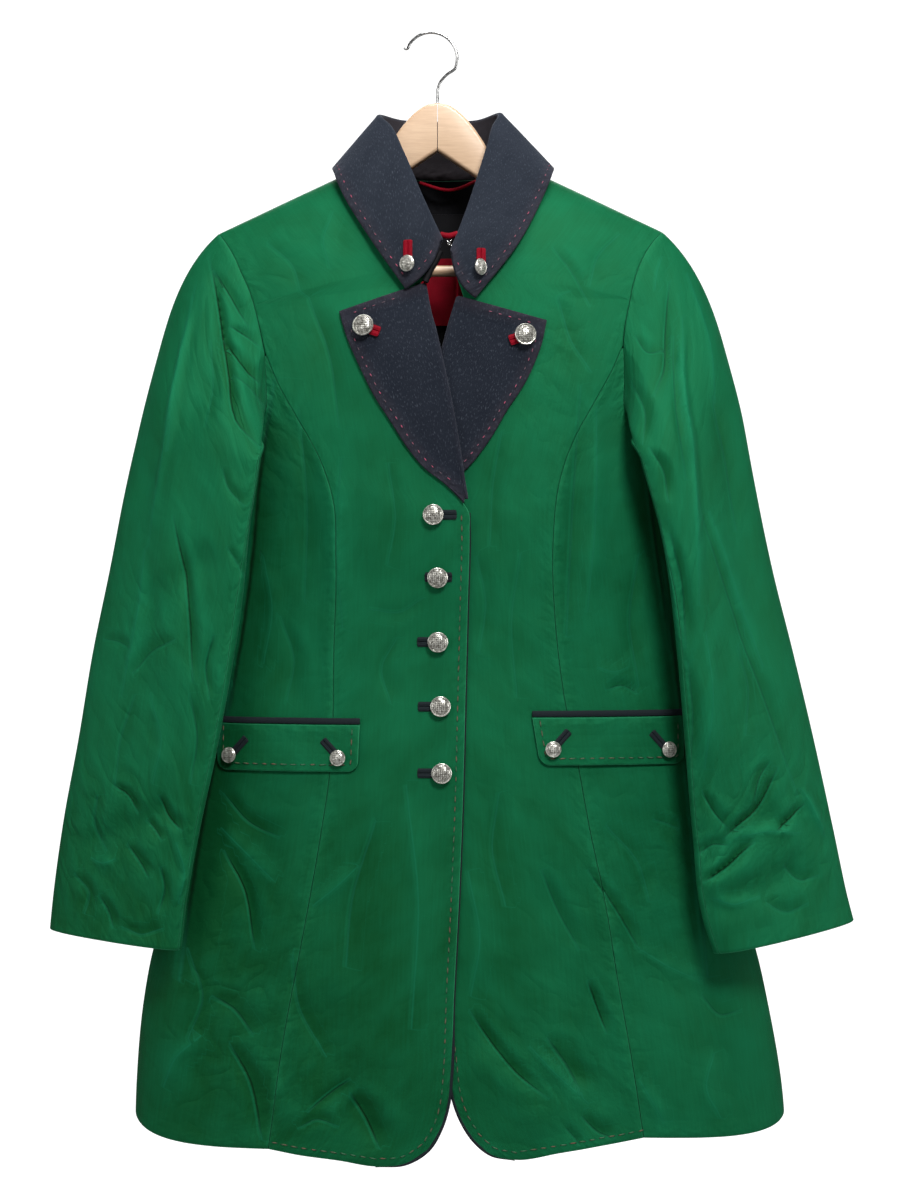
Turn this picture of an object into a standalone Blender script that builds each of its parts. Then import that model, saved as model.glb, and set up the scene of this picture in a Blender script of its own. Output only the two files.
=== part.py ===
"""A long tailored jacket with a stand-and-fall collar and folded lapels, hung on a wooden hanger.

World axes, in metres: +X to the viewer's right, +Y into the back of the jacket, +Z up. The origin is the inner
top of the hanger's hook, where a rail carries it. The wearer's right front, on the viewer's left, laps over.
Every cloth piece is a wall of its own: a grid laid on one body surface, thickened to its inside.
"""

import math
from collections import namedtuple

import bmesh
import bpy
import numpy as np

# ---- Driving dimensions -------------------------------------------------------------------------------------
CLOTH = 0.0018  # wall of the shell cloth with its lining
FELTED = 0.0022  # wall of the navy collar and lapels
SEAM = 0.0003  # gap between two pieces that are sewn together
ROUNDNESS = 0.85  # 1 is an ellipse in plan, less is squarer at the sides

SHOULDER_APEX = (0.009, -0.0840)  # where the two shoulder lines would meet, x and z
SHOULDER_SLOPE = 0.475
SHOULDER_EASE = 0.02  # rounds the crossing of the two lines, behind the neck
SHOULDER_SOFTNESS = {"front": 0.045, "back": 0.030}  # how fast the cloth falls away from the shoulder line
SHOULDER_POWER = 0.7
TIP_LEFT_X, TIP_RIGHT_X = -0.1927, 0.2070
NECK_LEFT_X, NECK_RIGHT_X = -0.0640, 0.0820
NECK_BACK = (0.0085, -0.1255)
UNDERARM = -0.358
SIDE_HEM = -0.968
BACK_HEM = -0.984

BUTTON_FRONT, BUTTON_LAPEL, BUTTON_COLLAR, BUTTON_FLAP = 0.0180, 0.0190, 0.0145, 0.0140
ARMHOLE_STEP = 0.0016  # how far outside its armhole a sleeve starts at the back of the arm
SIDE_FRONT_TIP = 0.08  # the side front's point starts this share of a row down, so that it keeps a width
RADIAN_OF_CLOTH = 0.12  # cloth that a radian of plan angle takes near the side seams
LAID_GAP = 0.0018  # under a flap or a welt that lies on the rounded front
HOLE_LENGTH, HOLE_WIDTH, HOLE_WALL = 0.024, 0.0085, 0.0009

WIRE = 0.0027
ARM_DEPTH = 0.014
BAR = 0.0100
LOOP_CORD = 0.0032

# ---- Tables ---------------------------------------------------------------------------------------------------
Ring = namedtuple("Ring", "z centre half_width front_depth back_depth")
BODY = [
    Ring(-0.115, 0.0080, 0.2120, 0.060, 0.062),
    Ring(-0.200, 0.0080, 0.2120, 0.061, 0.062),
    Ring(-0.280, 0.0085, 0.2020, 0.063, 0.060),
    Ring(-0.360, 0.0095, 0.1920, 0.064, 0.056),
    Ring(-0.430, 0.0145, 0.1940, 0.062, 0.052),
    Ring(-0.520, 0.0195, 0.2035, 0.055, 0.048),
    Ring(-0.600, 0.0190, 0.2115, 0.054, 0.048),
    Ring(-0.650, 0.0185, 0.2225, 0.055, 0.050),
    Ring(-0.750, 0.0195, 0.2475, 0.057, 0.053),
    Ring(-0.835, 0.0200, 0.2740, 0.059, 0.055),
    Ring(-0.871, 0.0208, 0.2810, 0.060, 0.055),
    Ring(-0.944, 0.0239, 0.2905, 0.061, 0.056),
    Ring(-1.020, 0.0260, 0.2940, 0.062, 0.056),
]

Knot = namedtuple("Knot", "x z")
# Each front's free edge: its neckline from the shoulder down, and its edge below the lapel to the hem corner.
OVER_NECK = [Knot(-0.0480, -0.1470), Knot(-0.0235, -0.1800), Knot(0.0040, -0.2120)]
UNDER_NECK = [Knot(0.0660, -0.1480), Knot(0.0430, -0.1840), Knot(0.0190, -0.2180)]
OVER_EDGE = [
    Knot(0.0325, -0.4345), Knot(0.0329, -0.4494), Knot(0.0316, -0.5105), Knot(0.0294, -0.5981),
    Knot(0.0272, -0.6853), Knot(0.0237, -0.7724), Knot(0.0193, -0.8597), Knot(0.0167, -0.9252),
    Knot(0.0141, -0.9505), Knot(0.0080, -0.9714), Knot(-0.0034, -0.9906),
]
UNDER_EDGE = [
    Knot(-0.0180, -0.4345), Knot(-0.0183, -0.4405), Knot(-0.0166, -0.5105), Knot(-0.0131, -0.5982),
    Knot(-0.0078, -0.6856), Knot(0.0001, -0.7727), Knot(0.0088, -0.8600), Knot(0.0150, -0.9168),
    Knot(0.0185, -0.9448), Knot(0.0254, -0.9649), Knot(0.0368, -0.9832),
]
OVER_CORNER = [Knot(-0.0034, -0.9906), Knot(-0.0235, -1.0028), Knot(-0.0496, -1.0055)]
UNDER_CORNER = [Knot(0.0368, -0.9832), Knot(0.0525, -0.9964), Knot(0.0726, -1.0007)]
HEM_LEFT = [Knot(-0.0803, -1.0016), Knot(-0.1155, -0.9978), Knot(-0.1439, -0.9930)]
HEM_RIGHT = [Knot(0.1120, -0.9951), Knot(0.1472, -0.9895), Knot(0.1861, -0.9828)]
PRINCESS_LEFT = [
    Knot(-0.1479, -0.2920), Knot(-0.1370, -0.3180), Knot(-0.1204, -0.3479), Knot(-0.0983, -0.3876),
    Knot(-0.0869, -0.4227), Knot(-0.0845, -0.4753), Knot(-0.0865, -0.5546), Knot(-0.0897, -0.6600),
    Knot(-0.1000, -0.7299), Knot(-0.1158, -0.8176), Knot(-0.1307, -0.8965), Knot(-0.1439, -0.9930),
]
PRINCESS_RIGHT = [
    Knot(0.1692, -0.2852), Knot(0.1590, -0.3080), Knot(0.1441, -0.3348), Knot(0.1247, -0.3701),
    Knot(0.1124, -0.4052), Knot(0.1065, -0.4577), Knot(0.1084, -0.5281), Knot(0.1155, -0.5899),
    Knot(0.1302, -0.6645), Knot(0.1389, -0.7127), Knot(0.1519, -0.7738), Knot(0.1632, -0.8439),
    Knot(0.1755, -0.9141), Knot(0.1861, -0.9828),
]
ARMHOLE_FRONT_LEFT = [
    Knot(-0.1837, -0.1928), Knot(-0.1768, -0.2048), Knot(-0.1700, -0.2197),
    Knot(-0.1633, -0.2343), Knot(-0.1584, -0.2485), Knot(-0.1543, -0.2642), Knot(-0.1479, -0.2920),
]
ARMHOLE_FRONT_RIGHT = [
    Knot(0.1990, -0.1880), Knot(0.1917, -0.1986), Knot(0.1815, -0.2212),
    Knot(0.1751, -0.2477), Knot(0.1705, -0.2711), Knot(0.1692, -0.2852),
]
# Below the princess seam the armhole turns under the arm. There it is given by plan angle from the centre front.
Under = namedtuple("Under", "degrees z")
ARMHOLE_LOW_LEFT = [Under(-50.5, -0.2920), Under(-49.5, -0.3200), Under(-51.0, -0.3420), Under(-63.0, -0.3550),
                    Under(-90.0, UNDERARM)]
ARMHOLE_LOW_RIGHT = [Under(51.5, -0.2852), Under(52.5, -0.3180), Under(54.5, -0.3420), Under(66.0, -0.3550),
                     Under(90.0, UNDERARM)]
ARMHOLE_BACK_LEFT = [Knot(-0.1790, -0.2020), Knot(-0.1670, -0.2350), Knot(-0.1600, -0.2750), Knot(-0.1590, -0.3100)]
ARMHOLE_BACK_RIGHT = [Knot(0.1940, -0.2000), Knot(0.1830, -0.2350), Knot(0.1770, -0.2750), Knot(0.1770, -0.3100)]

Lie = namedtuple("Lie", "outer_x outer_y outer_z inner_x inner_y inner_z front_depth back_depth")
SLEEVE_LEFT = [
    Lie(-0.2600, -0.014, -0.3580, -0.1480, -0.080, -0.3920, 0.022, 0.019),
    Lie(-0.2705, -0.017, -0.4033, -0.1545, -0.080, -0.4372, 0.021, 0.019),
    Lie(-0.2860, -0.022, -0.4838, -0.1640, -0.079, -0.5036, 0.020, 0.019),
    Lie(-0.3003, -0.026, -0.5549, -0.1737, -0.078, -0.5664, 0.020, 0.019),
    Lie(-0.3130, -0.030, -0.6344, -0.1883, -0.077, -0.6460, 0.020, 0.018),
    Lie(-0.3258, -0.033, -0.7052, -0.2030, -0.076, -0.7140, 0.019, 0.018),
    Lie(-0.3352, -0.036, -0.7765, -0.2150, -0.076, -0.7830, 0.018, 0.017),
    Lie(-0.3374, -0.037, -0.8010, -0.2185, -0.076, -0.8140, 0.018, 0.017),
]
SLEEVE_RIGHT = [
    Lie(0.2765, -0.014, -0.3580, 0.1800, -0.080, -0.3890, 0.022, 0.019),
    Lie(0.2845, -0.017, -0.4033, 0.1918, -0.080, -0.4329, 0.021, 0.019),
    Lie(0.3008, -0.022, -0.4838, 0.2085, -0.079, -0.5036, 0.020, 0.019),
    Lie(0.3186, -0.026, -0.5549, 0.2155, -0.078, -0.5664, 0.020, 0.019),
    Lie(0.3375, -0.030, -0.6344, 0.2217, -0.077, -0.6460, 0.020, 0.018),
    Lie(0.3530, -0.033, -0.7052, 0.2275, -0.076, -0.7170, 0.019, 0.018),
    Lie(0.3680, -0.036, -0.7765, 0.2370, -0.076, -0.7920, 0.018, 0.017),
    Lie(0.3724, -0.037, -0.7935, 0.2457, -0.076, -0.8180, 0.018, 0.017),
]

# The collar at a few places round the neck: its fold, and the lower edge of its fall, front end to front end.
Fold = namedtuple("Fold", "fold_x fold_y fold_z edge_x edge_y edge_z")
COLLAR = [
    Fold(0.0097, -0.0680, -0.1960, -0.0235, -0.0640, -0.2385),
    Fold(-0.0093, -0.0520, -0.1521, -0.0550, -0.0540, -0.1925),
    Fold(-0.0250, -0.0330, -0.1125, -0.0789, -0.0370, -0.1523),
    Fold(-0.0370, -0.0150, -0.0856, -0.0880, -0.0200, -0.1295),
    Fold(-0.0474, 0.0020, -0.0728, -0.0900, 0.0040, -0.1205),
    Fold(-0.0264, 0.0370, -0.0700, -0.0580, 0.0480, -0.1350),
    Fold(0.0070, 0.0460, -0.0695, 0.0085, 0.0570, -0.1390),
    Fold(0.0390, 0.0370, -0.0700, 0.0760, 0.0480, -0.1350),
    Fold(0.0603, 0.0020, -0.0712, 0.1090, 0.0040, -0.1205),
    Fold(0.0540, -0.0130, -0.0850, 0.1075, -0.0200, -0.1300),
    Fold(0.0480, -0.0270, -0.1080, 0.0963, -0.0370, -0.1582),
    Fold(0.0330, -0.0470, -0.1580, 0.0760, -0.0540, -0.1975),
    Fold(0.0158, -0.0690, -0.2059, 0.0385, -0.0640, -0.2465),
]
COLLAR_ROLL = 0.0032
END_BELLY = 0.005  # how far the collar's front ends bow out between fold and point

Lapel = namedtuple("Lapel", "roll_x roll_z edge_x edge_z")
OVER_LAPEL = [
    Lapel(-0.0048, -0.2335, -0.0810, -0.2575), Lapel(-0.0010, -0.2560, -0.0738, -0.2804),
    Lapel(0.0045, -0.2770, -0.0628, -0.3061), Lapel(0.0110, -0.3070, -0.0498, -0.3326),
    Lapel(0.0165, -0.3320, -0.0360, -0.3548), Lapel(0.0210, -0.3560, -0.0220, -0.3771),
    Lapel(0.0255, -0.3820, -0.0068, -0.3955), Lapel(0.0285, -0.4030, 0.0115, -0.4094),
    Lapel(0.0318, -0.4225, 0.0285, -0.4250),
]
UNDER_LAPEL = [
    Lapel(0.0215, -0.2445, 0.1005, -0.2650), Lapel(0.0155, -0.2640, 0.0965, -0.2840),
    Lapel(0.0090, -0.2880, 0.0900, -0.3020), Lapel(0.0025, -0.3140, 0.0796, -0.3235),
    Lapel(-0.0025, -0.3360, 0.0656, -0.3446), Lapel(-0.0069, -0.3560, 0.0516, -0.3686),
    Lapel(-0.0110, -0.3800, 0.0294, -0.3965), Lapel(-0.0150, -0.4030, 0.0071, -0.4120),
    Lapel(-0.0195, -0.4230, -0.0160, -0.4260),
]
LAPEL_ROLL = 0.0032
LAPEL_TUCK = 0.0047  # how far behind its roll a lapel is sewn to its front

Place = namedtuple("Place", "x z")
FRONT_BUTTONS = [Place(0.0012, -0.4362), Place(0.0052, -0.4905), Place(0.0054, -0.5472), Place(0.0076, -0.6039),
                 Place(0.0087, -0.6622)]
HOLE_SHIFTS = [0.0085, 0.0005, -0.0065, -0.0080, -0.0095]  # each front buttonhole's centre from its button's
LAPEL_BUTTONS = [Place(-0.0575, -0.2731), Place(0.0805, -0.2789)]
COLLAR_BUTTONS = [(0.040, 0.62), (0.960, 0.62)]  # along the collar, and down its fall
Flap = namedtuple("Flap", "side near_x far_x top_z bottom_z slant buttons")
FLAPS = [
    Flap("over", -0.0628, -0.1900, -0.6203, -0.6615, 0.002, (Place(-0.0813, -0.6492), Place(-0.1769, -0.6487))),
    Flap("under", 0.0878, 0.2225, -0.6138, -0.6560, 0.007, (Place(0.1058, -0.6416), Place(0.2066, -0.6432))),
]
WELT_HEIGHT = 0.0062

# The largest folds, each a soft valley (negative) or ridge from one point of the front view to another.
Crease = namedtuple("Crease", "x0 z0 x1 z1 width depth")
FRONT_FOLDS = [
    Crease(-0.150, -0.700, -0.215, -0.960, 0.022, -0.0050),
    Crease(-0.105, -0.860, -0.060, -0.985, 0.020, -0.0035),
    Crease(-0.185, -0.740, -0.248, -0.940, 0.020, 0.0040),
    Crease(0.100, -0.745, 0.145, -0.960, 0.022, -0.0045),
    Crease(0.190, -0.700, 0.268, -0.950, 0.024, -0.0050),
    Crease(0.040, -0.905, 0.100, -0.975, 0.018, 0.0030),
    Crease(-0.120, -0.420, -0.160, -0.560, 0.024, -0.0035),
    Crease(0.135, -0.420, 0.195, -0.560, 0.024, -0.0035),
    Crease(-0.190, -0.310, -0.262, -0.420, 0.016, -0.0050),
    Crease(-0.235, -0.300, -0.225, -0.600, 0.018, 0.0045),
    Crease(-0.190, -0.470, -0.255, -0.520, 0.014, -0.0040),
    Crease(-0.225, -0.690, -0.310, -0.730, 0.014, -0.0040),
    Crease(0.205, -0.330, 0.240, -0.640, 0.016, 0.0045),
    Crease(0.255, -0.310, 0.285, -0.560, 0.018, -0.0040),
    Crease(0.235, -0.740, 0.300, -0.690, 0.014, -0.0040),
    Crease(0.240, -0.780, 0.330, -0.740, 0.014, -0.0035),
]
BACK_FOLDS = [
    Crease(-0.060, -0.560, -0.130, -0.960, 0.026, -0.0050),
    Crease(0.085, -0.560, 0.170, -0.960, 0.026, -0.0050),
    Crease(0.000, -0.700, 0.010, -0.975, 0.024, 0.0030),
    Crease(-0.120, -0.260, -0.070, -0.480, 0.024, -0.0035),
    Crease(0.140, -0.260, 0.095, -0.480, 0.024, -0.0035),
    Crease(-0.215, -0.330, -0.270, -0.560, 0.018, -0.0045),
    Crease(0.235, -0.330, 0.290, -0.560, 0.018, -0.0045),
]

HangerArm = namedtuple("HangerArm", "x top bottom")  # x from the middle joint outwards
HANGER_MIDDLE = 0.0045
HANGER_ARM = [
    HangerArm(0.0003, -0.0631, -0.1064), HangerArm(0.0100, -0.0650, -0.1128), HangerArm(0.0200, -0.0715, -0.1196),
    HangerArm(0.0300, -0.0820, -0.1262), HangerArm(0.0395, -0.0950, -0.1330), HangerArm(0.0490, -0.1110, -0.1400),
    HangerArm(0.0600, -0.1250, -0.1480), HangerArm(0.0720, -0.1340, -0.1560), HangerArm(0.1000, -0.1480, -0.1720),
    HangerArm(0.1300, -0.1620, -0.1860), HangerArm(0.1520, -0.1725, -0.1960), HangerArm(0.1530, -0.1730, -0.2235),
    HangerArm(0.1750, -0.1840, -0.2245), HangerArm(0.1820, -0.1920, -0.2180),
]
BAR_HEIGHT = -0.2140
BAR_REACH = 0.1520  # half the bar's length, between the arms' inner faces

# Wire route in the hanger's plane, from the free tip over the arc and down to the wood.
HOOK_ARC = (-0.0012, -0.0220, 0.0234)  # centre x, centre z, radius to the wire's middle
HOOK_DEGREES = (158, -22)
HOOK_TAIL = [(0.0130, -0.0365), (0.0070, -0.0435), (0.0048, -0.0500), (0.0045, -0.0570)]

# The hanging loop: one short cord, sewn at both ends into the back neck seam.
HANG_LOOP = [(-0.0118, 0.0290, -0.1288), (-0.0060, 0.0275, -0.1310), (0.0010, 0.0265, -0.1335),
             (0.0080, 0.0260, -0.1354), (0.0150, 0.0260, -0.1361), (0.0225, 0.0262, -0.1350),
             (0.0300, 0.0268, -0.1322), (0.0360, 0.0275, -0.1292), (0.0397, 0.0285, -0.1275)]

# ---- Grid counts: rows that two pieces share at a seam are shared here -----------------------------------------
ARMHOLE_ROWS, LOW_ROWS, BACK_ROWS = 8, 5, 9
SKIRT_ROWS = 13
PRINCESS_ROWS = LOW_ROWS + SKIRT_ROWS
FRONT_COLUMNS, SIDE_COLUMNS, NECK_COLUMNS, BACK_COLUMNS = 9, 7, 3, 6
NECK_ROWS = 5
CAP_ROWS, TUBE_ROWS = 5, 12
LOW_CORNER = ARMHOLE_ROWS + 3  # the armhole sample where the upper sleeve ends at the front
ELBOW_SEAM = ARMHOLE_ROWS + LOW_ROWS + 3  # and the one where it ends at the back

# ---- Colours: red, green, blue, roughness, metallic ------------------------------------------------------------
GREEN = (0.010, 0.125, 0.045, 0.70, 0.0)
NAVY = (0.030, 0.036, 0.055, 0.85, 0.0)
BLACK = (0.006, 0.006, 0.008, 0.60, 0.0)
RED = (0.420, 0.008, 0.020, 0.60, 0.0)
SILVER = (0.420, 0.420, 0.380, 0.35, 1.0)
BIRCH = (0.780, 0.600, 0.400, 0.50, 0.0)
STEEL = (0.550, 0.550, 0.550, 0.20, 1.0)


# ---- Curves ----------------------------------------------------------------------------------------------------
def through(knots, keys=None):
    """A smooth curve through the knots, read at a key. Without keys it runs from 0 to 1 by chord length."""
    points = np.array(knots, float)
    if keys is None:
        steps = np.linalg.norm(np.diff(points, axis=0), axis=1)
        keys = np.concatenate([[0.0], np.cumsum(steps)]) / steps.sum()
    keys = np.array(keys, float)
    slopes = np.gradient(points, keys, axis=0)

    def at(key):
        key = min(max(key, keys[0]), keys[-1])
        i = min(int(np.searchsorted(keys, key, side="right")) - 1, len(keys) - 2)
        span = keys[i + 1] - keys[i]
        t = (key - keys[i]) / span
        start, end = points[i], points[i + 1]
        rise = (2 * t**3 - 3 * t**2 + 1) * start + (3 * t**2 - 2 * t**3) * end
        return rise + span * ((t**3 - 2 * t**2 + t) * slopes[i] + (t**3 - t**2) * slopes[i + 1])

    return at


def ease(value, low, high):
    t = min(max((value - low) / (high - low), 0.0), 1.0)
    return t * t * (3 - 2 * t)


def creases(x, z, folds):
    """The sum of the soft folds at one place of the front view."""
    total = 0.0
    for fold in folds:
        run = np.array([fold.x1 - fold.x0, fold.z1 - fold.z0])
        length = np.linalg.norm(run)
        away = np.array([x - fold.x0, z - fold.z0])
        along = away @ run / length**2
        across = (away[0] * run[1] - away[1] * run[0]) / length
        fade = ease(along, -0.12, 0.18) * (1 - ease(along, 0.82, 1.12))
        total += fold.depth * fade * math.exp(-((across / fold.width) ** 2))
    return total


# ---- The body surface --------------------------------------------------------------------------------------------
ring_at = through([row[1:] for row in reversed(BODY)], [row.z for row in reversed(BODY)])


def plan_angle(x, z):
    """The angle round the body of a place in the front view: 0 at the centre, +-90 degrees at the side seams."""
    centre, half_width = ring_at(z)[:2]
    across = min(max((x - centre) / half_width, -1.0), 1.0)
    return math.copysign(math.asin(abs(across) ** (1 / ROUNDNESS)), across)


def on_shoulder(x):
    """The point of the shoulder line at x."""
    return Knot(x, SHOULDER_APEX[1] - SHOULDER_SLOPE * math.hypot(x - SHOULDER_APEX[0], SHOULDER_EASE))


def shoulder_fall(x, z, face):
    """0 on the shoulder line, growing to 1 below it."""
    drop = max(on_shoulder(x).z - z, 0.0)
    return 1 - math.exp(-((drop / SHOULDER_SOFTNESS[face]) ** SHOULDER_POWER))


def lap(x, z):
    """How far the over front stands forward of the under front, and over its lapel."""
    height = 0.0045 * (1 - ease(z, -0.27, -0.22)) + 0.0060 * ease(z, -0.60, -0.43) * (1 - ease(z, -0.30, -0.24))
    return height * ease(x, -0.11, -0.03)


def body_point(angle, z, face, layer):
    """A point of the body cloth's outer side: face is front or back, layer is over or under."""
    centre, half_width, front_depth, back_depth = ring_at(z)
    x = centre + half_width * math.copysign(abs(math.sin(angle)) ** ROUNDNESS, angle)
    bulge = max(math.cos(angle), 0.0) ** ROUNDNESS * shoulder_fall(x, z, face)
    if face == "back":
        return np.array([x, (back_depth + creases(x, z, BACK_FOLDS)) * bulge, z])
    y = -(front_depth + creases(x, z, FRONT_FOLDS)) * bulge
    return np.array([x, y - (lap(x, z) if layer == "over" else 0.0), z])


def laid_on(x, z, face, layer, out=0.0):
    """The cloth's point at a place in the front view, moved out along its normal, and that normal."""
    step = 0.004

    def at(px, pz):
        return body_point(plan_angle(px, pz), pz, face, layer)

    across = at(x + step, z) - at(x - step, z)
    down = at(x, z - step) - at(x, z + step)
    normal = np.cross(down, across)
    normal *= math.copysign(1.0, normal[1]) * (1 if face == "back" else -1) / np.linalg.norm(normal)
    return at(x, z) + out * normal, normal


def front_at(x, z, layer, out=0.0):
    return laid_on(x, z, "front", layer, out)


# ---- Cloth pieces --------------------------------------------------------------------------------------------
def material(name, finish):
    made = bpy.data.materials.get(name) or bpy.data.materials.new(name)
    made.use_nodes = True
    shader = made.node_tree.nodes["Principled BSDF"]
    shader.inputs["Base Color"].default_value = (*finish[:3], 1.0)
    shader.inputs["Roughness"].default_value = finish[3]
    shader.inputs["Metallic"].default_value = finish[4]
    made.diffuse_color = (*finish[:3], 1.0)
    return made


def finished(name, bm, finish, kind):
    bmesh.ops.recalc_face_normals(bm, faces=bm.faces)
    if bm.calc_volume(signed=True) < 0:
        bmesh.ops.reverse_faces(bm, faces=bm.faces)
    mesh = bpy.data.meshes.new(name)
    bm.to_mesh(mesh)
    bm.free()
    mesh.shade_smooth()
    mesh.set_sharp_from_angle(angle=math.radians(40))
    mesh.materials.append(material(kind, finish))
    part = bpy.data.objects.new(name, mesh)
    bpy.context.scene.collection.objects.link(part)
    return part


def grid_normals(points, outward):
    """A grid's own normals, turned to agree with a rough outward direction at its middle."""
    points = np.array(points)
    normals = np.cross(np.gradient(points, axis=0), np.gradient(points, axis=1))
    normals /= np.linalg.norm(normals, axis=2, keepdims=True)
    middle = normals[len(points) // 2, len(points[0]) // 2]
    return normals * math.copysign(1.0, middle @ np.array(outward, float))


def cloth(name, points, normals, wall, finish, kind):
    """A wall of cloth from a grid of points on its outer side and the normals there."""
    points, normals = np.array(points), np.array(normals)
    rows, columns = points.shape[:2]
    bm = bmesh.new()
    bmesh.ops.create_grid(bm, x_segments=columns - 1, y_segments=rows - 1, size=0.5)
    bm.verts.ensure_lookup_table()
    outer = list(bm.verts)
    made = bmesh.ops.extrude_face_region(bm, geom=list(bm.faces), use_keep_orig=True)
    inner = [item for item in made["geom"] if isinstance(item, bmesh.types.BMVert)]
    where = {tuple(round(c, 5) for c in vert.co): vert for vert in inner}
    for vert in outer:
        column = round((vert.co.x + 0.5) * (columns - 1))
        row = round((0.5 - vert.co.y) * (rows - 1))
        twin = where[tuple(round(c, 5) for c in vert.co)]
        twin.co = points[row, column] - wall * normals[row, column]
        vert.co = points[row, column]
    return finished(name, bm, finish, kind)


def drawn_in(points, gap):
    """The grid's outer rows and columns moved in by half a seam's gap, so that neighbours don't touch."""
    points = np.array(points)
    for line, following in ((0, 1), (-1, -2)):
        for axis in (0, 1):
            edge = points[line] if axis == 0 else points[:, line]
            beside = points[following] if axis == 0 else points[:, following]
            step = beside - edge
            edge += step / np.linalg.norm(step, axis=1, keepdims=True) * gap / 2
    return points


def coons(left, right, top, bottom):
    """Angles and heights between four edges. The hem's shape is carried only into the lowest rows."""
    rows, columns = len(left), len(top)
    grid = np.zeros((rows, columns, 2))
    for i in range(rows):
        fade_up = 1 - ease(i / (rows - 1), 0.0, 0.45)
        fade_down = ease(i / (rows - 1), 0.72, 1.0)
        for j in range(columns):
            s = j / (columns - 1)
            point = (1 - s) * left[i] + s * right[i]
            point = point + fade_up * (top[j] - (1 - s) * top[0] - s * top[-1])
            grid[i, j] = point + fade_down * (bottom[j] - (1 - s) * bottom[0] - s * bottom[-1])
    return grid


def angled(knots):
    return [np.array([plan_angle(x, z), z]) for x, z in knots]


def sampled(knots, count):
    curve = through(knots)
    return [curve(i / count) for i in range(count + 1)]


def body_normal(angle, z, face, layer):
    """The body's normal. At the side seams and on the shoulder line front and back share one, with no y."""
    turn, rise = 0.03, 0.004
    side = math.pi / 2
    around = body_point(min(angle + turn, side), z, face, layer) - body_point(max(angle - turn, -side), z, face, layer)
    down = body_point(angle, z - rise, face, layer) - body_point(angle, z + rise, face, layer)
    normal = np.cross(down, around) * (-1 if face == "back" else 1)
    if abs(body_point(angle, z, face, layer)[1]) < 0.0010:
        normal[1] = 0.0
    return normal / np.linalg.norm(normal)


def body_piece(name, grid, face, layer):
    points = [[body_point(angle, z, face, layer) for angle, z in row] for row in grid]
    normals = [[body_normal(angle, z, face, layer) for angle, z in row] for row in grid]
    return cloth(name, drawn_in(points, SEAM), normals, CLOTH, GREEN, "shell_green")


# ---- Seams that pieces share, as plan angles and heights -------------------------------------------------------
Half = namedtuple("Half", "layer sign tip neck lapel edge corner hem princess armhole low back_armhole sleeve")
TIP_LEFT, TIP_RIGHT = on_shoulder(TIP_LEFT_X), on_shoulder(TIP_RIGHT_X)
HALVES = {
    "right": Half("over", -1, TIP_LEFT, [on_shoulder(NECK_LEFT_X)] + OVER_NECK, OVER_LAPEL, OVER_EDGE, OVER_CORNER,
                  HEM_LEFT, PRINCESS_LEFT, [TIP_LEFT] + ARMHOLE_FRONT_LEFT, ARMHOLE_LOW_LEFT,
                  [TIP_LEFT] + ARMHOLE_BACK_LEFT, SLEEVE_LEFT),
    "left": Half("under", 1, TIP_RIGHT, [on_shoulder(NECK_RIGHT_X)] + UNDER_NECK, UNDER_LAPEL, UNDER_EDGE,
                 UNDER_CORNER, HEM_RIGHT, PRINCESS_RIGHT, [TIP_RIGHT] + ARMHOLE_FRONT_RIGHT, ARMHOLE_LOW_RIGHT,
                 [TIP_RIGHT] + ARMHOLE_BACK_RIGHT, SLEEVE_RIGHT),
}


def shoulder(half, columns):
    """The shoulder seam from the neck to the tip."""
    return [on_shoulder(x) for x in np.linspace(half.neck[0].x, half.tip.x, columns + 1)]


def free_edge(half):
    """The front's free edge, a row for each of the front's rows. Along a lapel it stays behind the roll."""
    tucked = [Knot(row.roll_x + half.sign * (LAPEL_TUCK + 5 * SEAM), row.roll_z) for row in half.lapel]
    knots = list(half.neck) + tucked + list(half.edge)
    at = through([(x,) for x, _ in knots], [-z for _, z in knots])
    junction = half.princess[0].z - 0.018
    heights = list(np.linspace(half.neck[0].z, half.neck[-1].z, NECK_ROWS + 1))
    heights += list(np.linspace(tucked[0].z, junction, ARMHOLE_ROWS - NECK_ROWS))
    heights += list(np.linspace(junction, half.edge[-1].z, PRINCESS_ROWS + 1))[1:]
    return [np.array([plan_angle(at(-z)[0], z), z]) for z in heights]


def princess(half):
    return angled(sampled(half.princess, PRINCESS_ROWS))


def spread_round(knots, count):
    """Samples of a seam given by plan angles and heights, spread evenly along the cloth."""
    even = sampled([(angle * RADIAN_OF_CLOTH, z) for angle, z in knots], count)
    return [np.array([reach / RADIAN_OF_CLOTH, z]) for reach, z in even]


def low_armhole(half):
    knots = [(math.radians(degrees), z) for degrees, z in half.low]
    knots[0] = tuple(angled([half.princess[0]])[0])
    return spread_round(knots, LOW_ROWS)


def back_armhole(half):
    knots = [tuple(point) for point in angled(half.back_armhole)]
    return spread_round(knots + [(half.sign * math.pi / 2, UNDERARM)], BACK_ROWS)


def side_seam(half):
    heights = np.linspace(UNDERARM, SIDE_HEM, SKIRT_ROWS + 1)
    return [np.array([half.sign * math.pi / 2, z]) for z in heights]


def centre_front(name, half):
    edge = free_edge(half)
    armhole = angled(sampled(half.armhole, ARMHOLE_ROWS))
    outer = armhole + princess(half)[1:]
    top = angled(shoulder(half, FRONT_COLUMNS))
    bottom = angled(sampled(list(half.corner) + list(half.hem), FRONT_COLUMNS))
    grid = coons(edge, outer, top, bottom)
    return body_piece(f"front_{name}", grid, "front", half.layer)


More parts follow.
